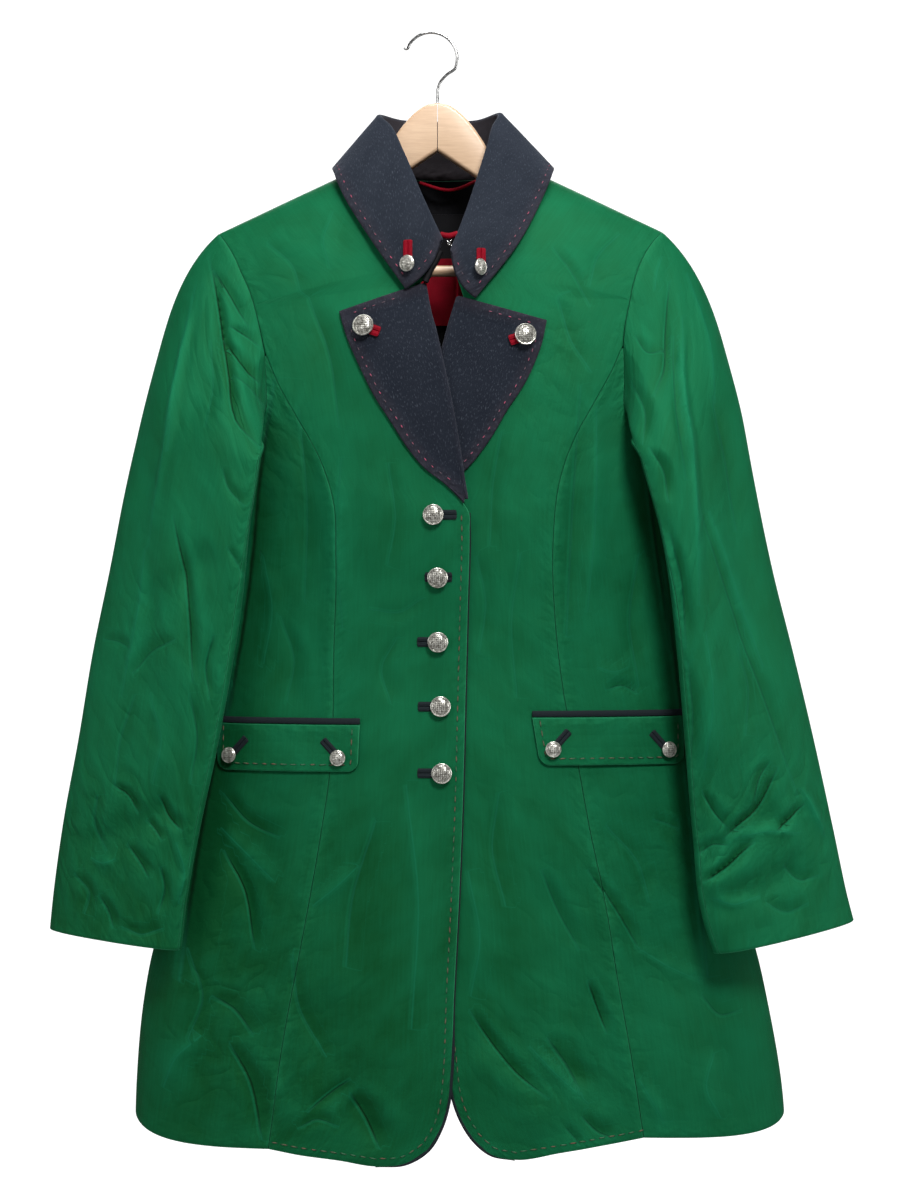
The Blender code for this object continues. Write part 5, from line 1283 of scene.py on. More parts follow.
for i, (place, shift) in enumerate(zip(FRONT_BUTTONS, HOLE_SHIFTS), 1):
    fasten(f"front_{i}", front_at(place.x + shift, place.z, "over", 0.0001), HOLE_LENGTH, HOLE_WIDTH, "trim_navy", UP,
           front_at(place.x, place.z, "over", 4 * SEAM + HOLE_WALL), BUTTON_FRONT)
for place, (side_name, half) in zip(LAPEL_BUTTONS, HALVES.items()):
    fasten(f"lapel_{side_name}",
           front_at(place.x - half.sign * 0.0078, place.z - 0.0032, half.layer, LAPEL_RISE + SEAM),
           0.0118, 0.0092, "trim_red", UP - half.sign * 0.35 * SIDE,
           front_at(place.x, place.z, half.layer, LAPEL_RISE + 2 * SEAM + HOLE_WALL + 0.0004), BUTTON_LAPEL)
for (at, hole_at, turn), side_name in zip(COLLAR_BUTTONS, HALVES):
    (point, normal), (foot, facing) = collar_place(*hole_at), collar_place(*at)
    fasten(f"collar_{side_name}", (point + 0.0006 * normal, normal), 0.0160, 0.0080, "trim_red", SIDE,
           (foot + 0.0026 * facing, facing), BUTTON_COLLAR, turn=turn)
for flap, (side_name, half) in zip(FLAPS, HALVES.items()):
    for i, (place, lean) in enumerate(zip(flap.buttons, (half.sign, -half.sign)), 1):
        fasten(f"flap_{side_name}_{i}",
               front_at(place.x + lean * 0.0075, place.z + 0.0085, half.layer, FLAP_RISE + SEAM),
               0.0200, 0.0072, "trim_navy", UP - lean * 1.1 * SIDE,
               front_at(place.x, place.z, half.layer, FLAP_RISE + 2 * SEAM + HOLE_WALL + 0.0002), BUTTON_FLAP, 7)
print(len(fastened), "buttons and holes")

# %% [markdown]
# ## Inside the neck
#
# Between the lapels one looks into the back: black lining, a bare red label sewn to it, and the red loop that
# the jacket can hang from. Lining and label are small sheets laid just inside the back panels.

# %% Back neck lining and label
def inside_back(x_low, x_high, z_top, z_bottom, inset, columns, rows):
    x = np.linspace(x_low, x_high, columns + 1)[None, :]
    z = np.linspace(z_top, z_bottom, rows + 1)[:, None]
    return front_at(x + 0 * z, z + 0 * x, "under", -inset, "back")[0]


GAP, THIN = 0.0032, 0.0010
behind = inside_back(-0.0450, 0.0630, -0.1540, -0.3300, CLOTH + GAP, 40, 60)
laid_cloth("back_neck_lining", behind, BACKWARD, THIN, "lining_black")
behind = inside_back(-0.0120, 0.0300, -0.1950, -0.2570, CLOTH + 1.5 * GAP + THIN, 20, 30)
laid_cloth("neck_label", behind, BACKWARD, THIN, "trim_red")

# %% [markdown]
# The loop is a thin cord of two strands twisted together. A round tube follows its route, and its surface is
# drawn in along two spirals, so that the strands stand out. Both ends go into the neck seam.

# %% Hanging loop
LOOP_TURN = 0.0062  # length of one whole twist
loop_route = sampled(HANG_LOOP, 59)


def swept(name, route, radius, kind, around, shape=None):
    """A tube along a route. shape changes its radius by distance and angle."""
    route = np.array(route, float)
    run = unit(np.gradient(route, axis=0))
    side = unit(np.cross(run, np.array([0.31, 0.17, 0.94]) if abs(run[0] @ [0, 0, 1]) < 0.9 else [1.0, 0.2, 0.0]))
    for k in range(1, len(side)):
        side[k] = unit(side[k - 1] - (side[k - 1] @ run[k]) * run[k])
    other = np.cross(run, side)
    distance = lengthways(route[:, None], 0)[:, 0]
    bm = bmesh.new()
    place, uv = bm.verts.layers.int.new("place"), bm.loops.layers.uv.new("UVMap")
    turn, along = bm.verts.layers.float.new("turn"), bm.verts.layers.float.new("along")
    bmesh.ops.create_circle(bm, cap_ends=True, radius=1.0, segments=around)
    for vert in bm.verts:
        vert[turn] = math.atan2(vert.co.y, vert.co.x)
    ring = list(bm.edges)
    for k in range(1, len(route)):
        made = bmesh.ops.extrude_edge_only(bm, edges=ring)["geom"]
        ring = [item for item in made if isinstance(item, bmesh.types.BMEdge)]
        for vert in verts_of(made):
            vert[place] = k
    bmesh.ops.edgeloop_fill(bm, edges=ring)
    for vert in bm.verts:
        k, a = vert[place], vert[turn]
        r = radius * (shape(distance[k], a) if shape else 1.0)
        vert.co = Vector(route[k] + r * (math.cos(a) * side[k] + math.sin(a) * other[k]))
        vert[along] = distance[k]
    for face in bm.faces:
        wraps = max(vert[turn] for vert in face.verts) - min(vert[turn] for vert in face.verts) > math.pi
        for loop in face.loops:
            a = loop.vert[turn] + (2 * math.pi if wraps and loop.vert[turn] < 0 else 0.0)
            loop[uv].uv = (a * radius, loop.vert[along])
    face_outward(bm)
    return finished(name, bm, kind, 60.0)


def twisted(distance, angle):
    return 0.80 + 0.20 * abs(math.cos(angle - math.pi * 2 * distance / LOOP_TURN))


loop = swept("hanging_loop", loop_route, LOOP_CORD / 2, "trim_red", 20, twisted)
worn(loop)

# %% [markdown]
# ## Hanger
#
# The hanger is two sawn arms glued at the middle, with eased edges, a bar for trousers, and a bent wire hook.
# The outline of an arm is one face, extruded to its depth and bevelled, as a router would do it.

# %% Wooden arms, bar and hook
ARM_CURVED = 11  # so many rows of the arm's table are one curve, and the rest are the corners at its end


def hanger_arm(name, sign):
    rows = np.array(HANGER_ARM, float)
    tops, bottoms = (np.concatenate([sampled(rows[:ARM_CURVED, [0, k]], 45), rows[ARM_CURVED:, [0, k]]])
                     for k in (1, 2))
    outline = [(HANGER_MIDDLE + sign * px, pz) for px, pz in [*tops, *bottoms[::-1]]]
    bm = bmesh.new()
    face = bm.faces.new([bm.verts.new((px, -ARM_DEPTH / 2, pz)) for px, pz in outline])
    made = bmesh.ops.extrude_face_region(bm, geom=[face], use_keep_orig=True)["geom"]
    bmesh.ops.translate(bm, vec=(0.0, ARM_DEPTH, 0.0), verts=verts_of(made))
    face_outward(bm)
    middle = HANGER_MIDDLE + sign * rows[0, 0]
    rims = [edge for edge in bm.edges
            if abs(edge.verts[0].co.y - edge.verts[1].co.y) < 1e-6
            and not all(abs(vert.co.x - middle) < 1e-6 for vert in edge.verts)]
    bmesh.ops.bevel(bm, geom=rims, offset=0.0030, segments=5, profile=0.5, affect="EDGES", clamp_overlap=True,
                    material=-1)
    return finished(name, bm, "birch", 40.0)


for arm_name, sign in (("hanger_arm_right", -1), ("hanger_arm_left", 1)):
    worn(hanger_arm(arm_name, sign))
reach = BAR_REACH - SEAM
bar_route = [(HANGER_MIDDLE + reach * t, 0.0, BAR_HEIGHT) for t in np.linspace(-1, 1, 24)]
worn(swept("hanger_bar", bar_route, BAR / 2, "birch", 32))
centre_x, centre_z, arc_radius = HOOK_ARC
turns = np.radians(np.linspace(*HOOK_DEGREES, 60))
arc = [(centre_x + arc_radius * math.cos(a), 0.0, centre_z + arc_radius * math.sin(a)) for a in turns]
tail = sampled([arc[-6], arc[-1]] + [(x, 0.0, z) for x, z in HOOK_TAIL], 39)
lead = sampled([(-0.0262, 0.0, -0.0128), arc[0], arc[4]], 11)
hook_route = np.concatenate([lead[:-1], arc[4:-6], tail, [(HANGER_MIDDLE, 0.0, HANGER_ARM[0].top + SEAM)]])


def tip_rounded(distance, angle):
    return math.sqrt(min(max(distance, 0.0) / (WIRE / 2) * (2 - min(distance / (WIRE / 2), 1.0)), 1.0)) * 0.98 + 0.02


worn(swept("hanger_hook", hook_route, WIRE / 2, "hook_steel", 24, tip_rounded))
print("hook wire", round(float(lengthways(hook_route[:, None], 0)[-1, 0]), 3), "m")

# %% [markdown]
# ## Hand stitching
#
# The edges are held by a saddle stitch: a thick thread that shows as a dash, dips under, and shows again. A
# texture could paint it, but real stitches stand up and catch light. One small rounded dash is made, copied to
# every place on the cloth, and turned to lie along its seam. All dashes of one piece are one mesh.

# %% Saddle stitches
STITCH_STEP, STITCH_LONG, STITCH_THICK = 0.0088, 0.0062, 0.0011
NAVY_STITCH = (0.0040, 0.0008)  # shorter and thinner on the felt
STITCH_LEAN, STITCH_UNEVEN = 0.10, 0.14  # how far a dash leans, and how far its length differs
GREEN_INSET, FLAP_INSET, NAVY_INSET = 0.0068, 0.0062, 0.0062  # how far inside an edge its stitches run
NEARBY = 0.001  # how far ahead and behind a line's direction is read


def inset_line(line, distance):
    """A line in the front view moved sideways by a distance; a positive one goes to its right."""
    line = np.array(line, float)
    run = np.gradient(line, axis=0)
    run /= np.linalg.norm(run, axis=1, keepdims=True)
    return line + distance * np.stack([run[:, 1], -run[:, 0]], axis=1)


def evenly(points, normals):
    """Places at even steps along a line of points, and the line's direction and the cloth's normal at each."""
    distance = lengthways(points[:, None], 0)[:, 0]
    at = np.arange(0.5 * STITCH_STEP, distance[-1], STITCH_STEP)

    def along(values, shift=0.0):
        return np.stack([np.interp(at + shift, distance, values[:, k]) for k in range(3)], axis=1)

    return along(points), unit(along(points, NEARBY) - along(points, -NEARBY)), along(normals)


def stitches(name, lines, kind, long=STITCH_LONG, thick=STITCH_THICK):
    """Dashes along lines of (points, normals)."""
    bm = bmesh.new()
    tip = bm.verts.layers.float.new("tip")
    count = 0
    for points, normals in lines:
        places, runs, faces = evenly(points, normals)
        for k, (place, run, face) in enumerate(zip(places, runs, faces)):
            face = unit(face)
            lean = STITCH_LEAN * math.sin(12.9 * k + 3.1 * count)
            run = unit(run + lean * np.cross(face, run))
            across = np.cross(face, run)
            size = 1 + STITCH_UNEVEN * math.sin(7.7 * k + count)
            made = bmesh.ops.create_uvsphere(bm, u_segments=8, v_segments=6, radius=1.0)["verts"]
            frame_matrix = Matrix([[*(run * long / 2 * size), 0.0], [*(across * thick / 2), 0.0],
                                   [*(face * thick / 2 * 0.8), 0.0], [0.0, 0.0, 0.0, 1.0]]).transposed()
            bmesh.ops.rotate(bm, verts=made, cent=(0, 0, 0), matrix=Matrix.Rotation(math.pi / 2, 3, "Y"))
            for vert in made:
                vert[tip] = abs(vert.co.x)
            bmesh.ops.transform(bm, verts=made, matrix=frame_matrix)
            bmesh.ops.translate(bm, verts=made, vec=Vector(place + face * thick * 0.18))
        count += len(places)
    face_outward(bm)
    print(name, count, "stitches")
    return worn(finished(name, bm, kind, 180.0))


def on_cloth(line, layer, out):
    line = np.array(line, float)
    return front_at(line[:, 0], line[:, 1], layer, out)


for side_name, half in HALVES.items():
    edge = np.concatenate([sampled(half.edge, 120), sampled(half.corner, 24)[1:], sampled(half.hem, 40)])
    line = on_cloth(inset_line(edge, -half.sign * GREEN_INSET), half.layer, 0.0)
    stitches(f"stitches_front_{side_name}", [line], "thread_green")
for flap, (side_name, half) in zip(FLAPS, HALVES.items()):
    x, z = rounded_corners(*flap_grid(flap, flap.top_z - 0.002, flap.bottom_z, 60, 24), FLAP_CORNER)
    outline = np.concatenate([np.stack([x[:, 0], z[:, 0]], 1)[:-1], np.stack([x[-1], z[-1]], 1),
                              np.stack([x[:, -1], z[:, -1]], 1)[::-1][1:]])
    line = on_cloth(inset_line(outline, -half.sign * FLAP_INSET), half.layer, CLOTH + LAID_GAP + 0.0004)
    stitches(f"stitches_flap_{side_name}", [line], "thread_green")

# %% [markdown]
# On the navy felt the thread is lighter, red and white twisted together. Lapel stitches lie on the lapel's own
# grid, at a fixed distance inside its edge, and collar stitches along the fall's edge.

# %% Stitches of the collar and lapels
def grid_inset(grid, normals, side_taken, inset, trim=0):
    """A line inside one side of a grid of points, at a fixed real distance from it."""
    if side_taken in ("top", "bottom"):
        grid, normals = grid.transpose(1, 0, 2), normals.transpose(1, 0, 2)
    if side_taken in ("right", "bottom"):
        grid, normals = grid[:, ::-1], normals[:, ::-1]
    distance = lengthways(grid, 1)
    points = [[np.interp(inset, distance[k], grid[k, :, c]) for c in range(3)] for k in range(len(grid))]
    faces = [[np.interp(inset, distance[k], normals[k, :, c]) for c in range(3)] for k in range(len(grid))]
    stop = len(points) - trim
    return np.array(points)[trim:stop], unit(np.array(faces))[trim:stop]


for side_name, half in HALVES.items():
    grid = lapel_grid(half)
    normals = grid_normals(grid, FORWARD)
    outer = grid_inset(grid, normals, "right", NAVY_INSET, 0)
    keep = slice(6, 66)
    top = grid_inset(grid[:, LAPEL_BENDS + 3:], normals[:, LAPEL_BENDS + 3:], "top", NAVY_INSET)
    stitches(f"stitches_lapel_{side_name}", [(outer[0][keep], outer[1][keep]), (top[0][8:-5], top[1][8:-5])],
             "thread_navy", *NAVY_STITCH)
collar_faces = grid_normals(collar_lines, UPWARD)
hang = slice(STAND_STEPS + ROLL_STEPS, None)
edge_line = grid_inset(collar_lines[:, hang], collar_faces[:, hang], "right", NAVY_INSET, 4)
ends = [grid_inset(collar_lines[:, hang], collar_faces[:, hang], side_taken, NAVY_INSET, 1)
        for side_taken in ("top", "bottom")]
ends = [(points[3:-5], faces[3:-5]) for points, faces in ends]
stitches("stitches_collar", [edge_line] + ends, "thread_navy", *NAVY_STITCH)

# %% [markdown]
# ## Edge trims
#
# Where the fronts curve away at the hem, the navy facing shows as a thin dark line round the edge. On the over
# front the same thin dark line runs up the whole edge, where it is a painted shadow of the edge. Inside the
# neck a narrow red tape follows the turn of each lapel, and a steel hook and eye hold the collar's ends.

# %% Facing edge, neck tape, hook and eye
FACING_WIDE = 0.0011
FACING_CORNER = 0.13  # the length at its lower end where it is at its widest
HOOK_WIRE = 0.00045
EYE_AT, EYE_STEP = np.array([0.0150, -0.0610, -0.1980]), 0.0007


def facing_edge(name, half):
    over = half.layer == "over"
    # On the over front the dark wire runs the whole edge: above the corner it stands in for the edge's shadow.
    knots = list(half.edge)[0 if over else -5:] + list(half.corner)[1:]
    points, _ = on_cloth(inset_line(sampled(knots, 200), half.sign * 0.0006), half.layer, -CLOTH * 0.62)
    full = lengthways(points[:, None], 0)[-1, 0] - FACING_CORNER

    def swell(distance, angle):
        """Thin along the edge, widest round the corner, and tapered where it runs out at the hem."""
        low = 0.62 if over else 0.35
        wide = low + (1.45 - low) * float(ease(distance, full - 0.05, full))
        return wide * (1 - 0.75 * float(ease(distance, full + 0.09, full + FACING_CORNER)))

    return swept(name, points, FACING_WIDE, "trim_navy", 10, swell)


for side_name, half in HALVES.items():
    worn(facing_edge(f"facing_edge_{side_name}", half))
for side_name, half in HALVES.items():
    z = np.linspace(-0.205, -0.330, 50)
    rolled = through([(row.roll_x,) for row in half.lapel], [-row.roll_z for row in half.lapel])(-z)[:, 0]
    points = front_at(rolled + half.sign * 0.0012, z, half.layer, -0.0044)[0]
    worn(swept(f"neck_tape_{side_name}", points, 0.0013, "trim_red", 10))


def bent_wire(name, steps):
    """A small wire bent through places counted in steps from the eye's middle."""
    knots = [EYE_AT + np.array(step) * EYE_STEP for step in steps]
    worn(swept(name, sampled(knots, 63), HOOK_WIRE, "hook_steel", 10))


# Where the collar's ends meet, a band of the red tape joins them, and a navy strip backs the right end.
band = sampled([(0.0075, -0.0600, -0.1905), (0.0140, -0.0606, -0.1918), (0.0225, -0.0600, -0.1898)], 29)
worn(swept("neck_tape_middle", band, 0.0026, "trim_red", 12))
strip = sampled([(0.0070, -0.0560, -0.2050), (0.0040, -0.0585, -0.2120), (-0.0010, -0.0605, -0.2210),
                 (-0.0060, -0.0620, -0.2320)], 39)
worn(swept("collar_end_facing", strip, 0.0030, "lining_black", 12))

bent_wire("collar_eye", [
    (-3.2, 0.6, 3.2), (-1.8, 0.2, 2.6), (-0.9, 0.0, 0.8), (-1.6, 0.0, -1.2), (0.0, 0.0, -2.4), (1.6, 0.0, -1.2),
    (0.9, 0.0, 0.8), (1.8, 0.2, 2.6), (3.2, 0.6, 3.2)])
bent_wire("collar_hook", [
    (4.4, 1.0, -1.6), (3.0, 0.3, -1.5), (1.4, -0.6, -1.5), (-0.2, -1.2, -1.3), (-0.9, -0.6, -1.5), (-0.2, 0.2, -1.9),
    (1.4, 0.2, -2.3), (3.0, 0.4, -2.5), (4.4, 1.0, -2.5)])

# %% [markdown]
# ## Finishes
#
# Every finish is built from a few shared effects. A shared effect is a node group: it is made once and takes its
# own values in each material. The groups read the UV map, which holds metres on every cloth piece, or Object
# coordinates on solid pieces, so a thread is as wide on a cuff as on a hem.
#
# What a node gives is wrapped in a small class, so that a sum of nodes is written as a sum. Each sign in it makes
# one Math node.

# %% Values that nodes give
def node(tree, kind, inputs={}, **settings):
    """A node with its settings, and its inputs set to values or joined to what other nodes give."""
    made = tree.nodes.new(kind)
    for key, value in settings.items():
        setattr(made, key, value)
    for key, value in inputs.items():
        if isinstance(value, Given):
            tree.links.new(value.socket, made.inputs[key])
        else:
            made.inputs[key].default_value = value
    return made


def maths(tree, operation, *values, **settings):
    return Given(node(tree, "ShaderNodeMath", dict(enumerate(values)), operation=operation, **settings))


class Given:
    """What a node gives. Sums, products and shares of it are further nodes."""

    def __init__(self, made, key=0):
        self.tree, self.socket = made.id_data, made.outputs[key]

    def __abs__(self):
        return maths(self.tree, "ABSOLUTE", self)


for sign, operation in (("add", "ADD"), ("sub", "SUBTRACT"), ("mul", "MULTIPLY"), ("truediv", "DIVIDE")):
    setattr(Given, f"__{sign}__", lambda self, other, name=operation: maths(self.tree, name, self, other))
    setattr(Given, f"__r{sign}__", lambda self, other, name=operation: maths(self.tree, name, other, self))


def noise(space, scale, detail, **more):
    return Given(node(space.tree, "ShaderNodeTexNoise", {"Vector": space, "Scale": scale, "Detail": detail, **more}))


def between(value, low, high, first=0.0, last=1.0, smooth=False):
    """Where a value lies between two limits, told between two others."""
    return Given(node(value.tree, "ShaderNodeMapRange", {0: value, 1: low, 2: high, 3: first, 4: last},
                      interpolation_type="SMOOTHSTEP" if smooth else "LINEAR"))


def stretched(space, scale, turn=0.0):
    return Given(node(space.tree, "ShaderNodeMapping", {"Vector": space, "Scale": scale,
                                                        "Rotation": (0.0, turn, 0.0)}))


def attribute(tree, name):
    return Given(node(tree, "ShaderNodeAttribute", attribute_name=name), "Fac")


def cloth_metres(tree):
    return Given(node(tree, "ShaderNodeUVMap"))


def solid_metres(tree):
    return Given(node(tree, "ShaderNodeTexCoord"), "Object")


def apart(space):
    made = node(space.tree, "ShaderNodeSeparateXYZ", {0: space})
    return [Given(made, key) for key in range(3)]


def mixed(mask, low, high):
    low, high = (value if isinstance(value, Given) else (*value, 1.0) for value in (low, high))
    return Given(node(mask.tree, "ShaderNodeMix", {0: mask, 6: low, 7: high}, data_type="RGBA"), 2)


def layered(colour, *layers):
    """Colours laid over the first one after the other, each where its mask says."""
    for mask, over in layers:
        colour = mixed(mask, colour, over)
    return colour


# %% [markdown]
# The effects themselves: threads, nap, crumples, fold lines, and the wear along edges and seams, with painted
# light and shade in the crumples, the creases, the seams and along the edges.

# %% Shared effects
def effect(name, **inputs):
    """A node group and its inputs. One without a value is a place, the others are numbers."""
    tree = bpy.data.node_groups.new(name, "ShaderNodeTree")
    for key, value in inputs.items():
        kind = "NodeSocketVector" if value is None else "NodeSocketFloat"
        socket = tree.interface.new_socket(name=key, in_out="INPUT", socket_type=kind)
        if value is not None:
            socket.default_value = value
    start = tree.nodes.new("NodeGroupInput")
    return tree, *(Given(start, key) for key in inputs)


def gives(tree, **outputs):
    """Ends a node group with the values that it gives."""
    for key in outputs:
        tree.interface.new_socket(name=key, in_out="OUTPUT", socket_type="NodeSocketFloat")
    end = tree.nodes.new("NodeGroupOutput")
    for key, value in outputs.items():
        tree.links.new(value.socket, end.inputs[key])


# Rows of threads: warp runs down the cloth, weft across, and each thread's width varies a little.
weave, vector, pitch, share, slub = effect("woven threads", Vector=None, Pitch=0.0009, Weft=0.5, Slub=0.3)
shift = noise(vector, 180.0, 2.0) * slub * pitch
u, v, _ = apart(vector)
warp, weft = (abs(maths(weave, "SINE", turns / pitch * math.pi)) for turns in (u + shift, v - shift))
gives(weave, Height=warp + weft * share, Shade=noise(vector, 900.0, 3.0))

# Felted nap: short fibres lying every way, with soft clouds where the nap has been brushed.
nap, vector, fibre, cloud = effect("felted nap", Vector=None, Fibre=0.0008, Cloud=0.03)
streak = noise(stretched(vector, (1.0, 0.34, 1.0)), 0.6 / fibre, 3.0, Roughness=0.6)
gives(nap, Height=noise(vector, 1.0 / fibre, 4.0, Roughness=0.65), Fleck=between(streak, 0.56, 0.74),
      Cloud=noise(vector, 1.0 / cloud, 3.0))

# Crumples: short sharp ridges where the cloth was crushed, as far as the "rumple" attribute says. Their
# "Shade" is painted shade and light on those ridges.
crumple, vector, size = effect("crumples", Vector=None, Size=0.035)
large = noise(vector, 1.0 / size, 1.0, Roughness=0.5, Distortion=0.5)
small = noise(vector, 3.1 / size, 2.0, Roughness=0.5, Distortion=0.2)
crushed = abs(large - 0.5) + abs(small - 0.5) * 0.22
rumple = attribute(crumple, "rumple")
gives(crumple, Height=crushed * rumple, Shade=rumple * (crushed - 0.11) + 0.5)

# Fold lines: painted shade in the thin line of each crease, and a painted highlight beside it and on ridges. "line"
# holds the distance to the nearest crease in shares of its width, and "pressed" how sharp it is there: below 0 a
# valley, above 0 a ridge.
fold_lines, wander = effect("fold lines", Wander=0.5)
pressed = attribute(fold_lines, "pressed")
line = attribute(fold_lines, "line") + (noise(cloth_metres(fold_lines), 95.0, 2.0) - 0.5) * wander
valley = between(abs(line), 0.0, 1.0, 1.0, 0.0, smooth=True)
beside = between(abs(line - 1.5), 0.0, 1.3, 1.0, 0.0, smooth=True)
sunk, raised = (maths(fold_lines, "ADD", pressed * share, 0.5, use_clamp=True) for share in (-0.95, 0.5))
gives(fold_lines, Dark=valley * sunk, Light=valley * raised + beside * (sunk * 0.35), Valley=valley * pressed)

# Pressing and wear: how close a place is to an edge of its piece, the groove of a seam where shade is painted,
# the puckers that a row of stitches draws up beside it, and a line along the very edge that the green cloth
# paints as a highlight and the navy felt as shade.
edge_wear_and_shading, width = effect("edge wear", Width=0.006)
rim, metres = attribute(edge_wear_and_shading, "rim"), cloth_metres(edge_wear_and_shading)
groove = between(attribute(edge_wear_and_shading, "seam"), 0.0002, 0.0009, 1.0, 0.0)
gives(edge_wear_and_shading, Worn=between(rim, 0.0, width, 1.0, 0.0) * noise(metres, 130.0, 3.0), Sewn=groove,
      Pucker=between(rim, 0.006, 0.016, 1.0, 0.0) * noise(metres, 115.0, 1.0),
      Brink=between(rim, 0.0003, 0.0012, 1.0, 0.0) * (1.0 - groove))
print("effects", [tree.name for tree in (weave, nap, crumple, fold_lines, edge_wear_and_shading)])


def finish(name, colour, roughness, **constants):
    """A material with its shader's own constants set."""
    material = bpy.data.materials.get(name) or bpy.data.materials.new(name)
    material.use_nodes = True
    shader = material.node_tree.nodes["Principled BSDF"]
    shader.inputs["Base Color"].default_value = (*colour, 1.0)
    shader.inputs["Roughness"].default_value = roughness
    for key, value in constants.items():
        shader.inputs[key.replace("_", " ")].default_value = value
    return material.node_tree, shader


def placed(tree, group, **values):
    """A shared effect in a material, and what it gives."""
    made = node(tree, "ShaderNodeGroup", values, node_tree=group)
    return {socket.name: Given(made, socket.name) for socket in made.outputs}


def shown(shader, **values):
    for key, value in values.items():
        value.tree.links.new(value.socket, shader.inputs[key.replace("_", " ")])


def bumped(shader, height, distance, strength):
    bump = node(height.tree, "ShaderNodeBump", {"Height": height, "Distance": distance, "Strength": strength})
    shown(shader, Normal=Given(bump))


# %% [markdown]
# The shell is a smooth wool cloth with a satin face: fine warp lines, a slight nap, and colour that is a touch
# yellower and lighter where edges were pressed. Wool scatters light at a glance, so its sheen is on. Shade is
# painted into the colour in the creases and crumples, and over the skirt, which the light from above reaches
# less: most of all low on the closed side.

# %% Green shell cloth
tree, shader = finish("shell_green", (0.002, 0.135, 0.052), 0.55, Metallic=0.35, Sheen_Weight=0.04,
                      Sheen_Roughness=0.4, Sheen_Tint=(0.20, 0.80, 0.50, 1.0), Specular_IOR_Level=0.10)
metres = cloth_metres(tree)
threads = placed(tree, weave, Vector=metres, Pitch=0.00085, Weft=0.35, Slub=0.6)
fuzz = placed(tree, nap, Vector=metres, Fibre=0.0011, Cloud=0.045)
# Besides the wear, these give a painted highlight along the very edges and painted shade in the seams.
wear_and_edge_light = placed(tree, edge_wear_and_shading, Width=0.007)
crush = placed(tree, crumple, Vector=metres, Size=0.034)
fold = placed(tree, fold_lines, Wander=0.55)
x, _, z = apart(solid_metres(tree))
# Painted shade: darker low on the skirt, most of all on the closed side, where less light falls.
skirt_shade = between(z, -0.58, -0.80, smooth=True) * between(x, -0.06, 0.16, 0.34, 0.04)
silk = noise(stretched(metres, (480.0, 30.0, 1.0)), 1.0, 3.0)
# Painted shade: the colour darkens in the hollows of the creases and lightens on their ridges, and the crumples paint
# their own shade and light. The nap's clouds are the cloth's own tone.
painted_shade_and_tone = between(attribute(tree, "relief"), -0.0048, 0.0042)
painted_shade_and_tone = painted_shade_and_tone + (crush["Shade"] - 0.5) * 1.1 + (fuzz["Cloud"] - 0.5) * 0.85 + (silk - 0.5) * 0.38 - skirt_shade
# Painted light and shade in the colour: shade in the crease lines with a highlight beside them, shade in the seams,
# and a highlight along the very edges.
green = layered(mixed(painted_shade_and_tone, (0.0010, 0.058, 0.0135), (0.0042, 0.146, 0.062)),
                (threads["Shade"] * 0.35, (0.0012, 0.075, 0.026)), (fold["Dark"], (0.0008, 0.022, 0.006)),
                (fold["Light"], (0.005, 0.160, 0.074)), (wear_and_edge_light["Worn"] * 0.30, (0.012, 0.190, 0.075)),
                (wear_and_edge_light["Brink"] * 0.55, (0.030, 0.260, 0.120)), (wear_and_edge_light["Sewn"] * 0.62, (0.001, 0.020, 0.008)),
                (attribute(tree, "inside"), (0.0075, 0.0075, 0.0090)))
shown(shader, Base_Color=green, Roughness=between(fuzz["Cloud"], 0.3, 0.7, 0.56, 0.68))
bumped(shader, threads["Height"] + fuzz["Height"] * 1.2 + fold["Valley"] * 6.0 + wear_and_edge_light["Pucker"] * 14.0
       + crush["Height"] * 85.0, 0.00008, 0.9)

# %% [markdown]
# The collar is wool felt: no threads show, only flecks of lighter fibre in dark blue, and soft brushed clouds.
# Shade is painted on the lapels, which lie below the collar and catch less light from above, and on the stand's
# inner face, which is painted browner. A line of shade is painted along the very edges.

# %% Navy felt
tree, shader = finish("collar_navy", (0.020, 0.024, 0.034), 0.88, Sheen_Weight=0.08, Sheen_Roughness=0.45,
                      Sheen_Tint=(0.72, 0.80, 1.0, 1.0), Specular_IOR_Level=0.12)
fuzz = placed(tree, nap, Vector=cloth_metres(tree), Fibre=0.0007, Cloud=0.024)
# Besides the wear, these give a line of painted shade along the very edges.
wear_and_edge_light = placed(tree, edge_wear_and_shading, Width=0.014)
# Painted shade: the lapels, lower than the collar, are darker.
lapels = between(apart(solid_metres(tree))[2], -0.222, -0.250, 0.0, 0.55)
# Painted shade: the stand's face towards the neck is painted browner.
stand = attribute(tree, "stand") * (0.75 - attribute(tree, "inside") * 0.75)
navy = layered(mixed(fuzz["Cloud"], (0.0070, 0.0100, 0.0165), (0.0150, 0.0195, 0.0285)),
               (lapels, (0.0040, 0.0060, 0.0115)), (fuzz["Fleck"] * 0.62, (0.060, 0.070, 0.090)),
               (wear_and_edge_light["Worn"] * 0.60, (0.036, 0.026, 0.034)), (wear_and_edge_light["Brink"] * 0.50, (0.003, 0.004, 0.008)),
               (stand, (0.030, 0.024, 0.026)))
shown(shader, Base_Color=navy)
bumped(shader, fuzz["Height"] + wear_and_edge_light["Pucker"] * 7.0, 0.00032, 0.9)

# %% [markdown]
# The bound buttonholes and the pocket welts are a plainer and darker twill. The lining is a thin twill that
# shines across its threads. The red trims are ribbed tape.

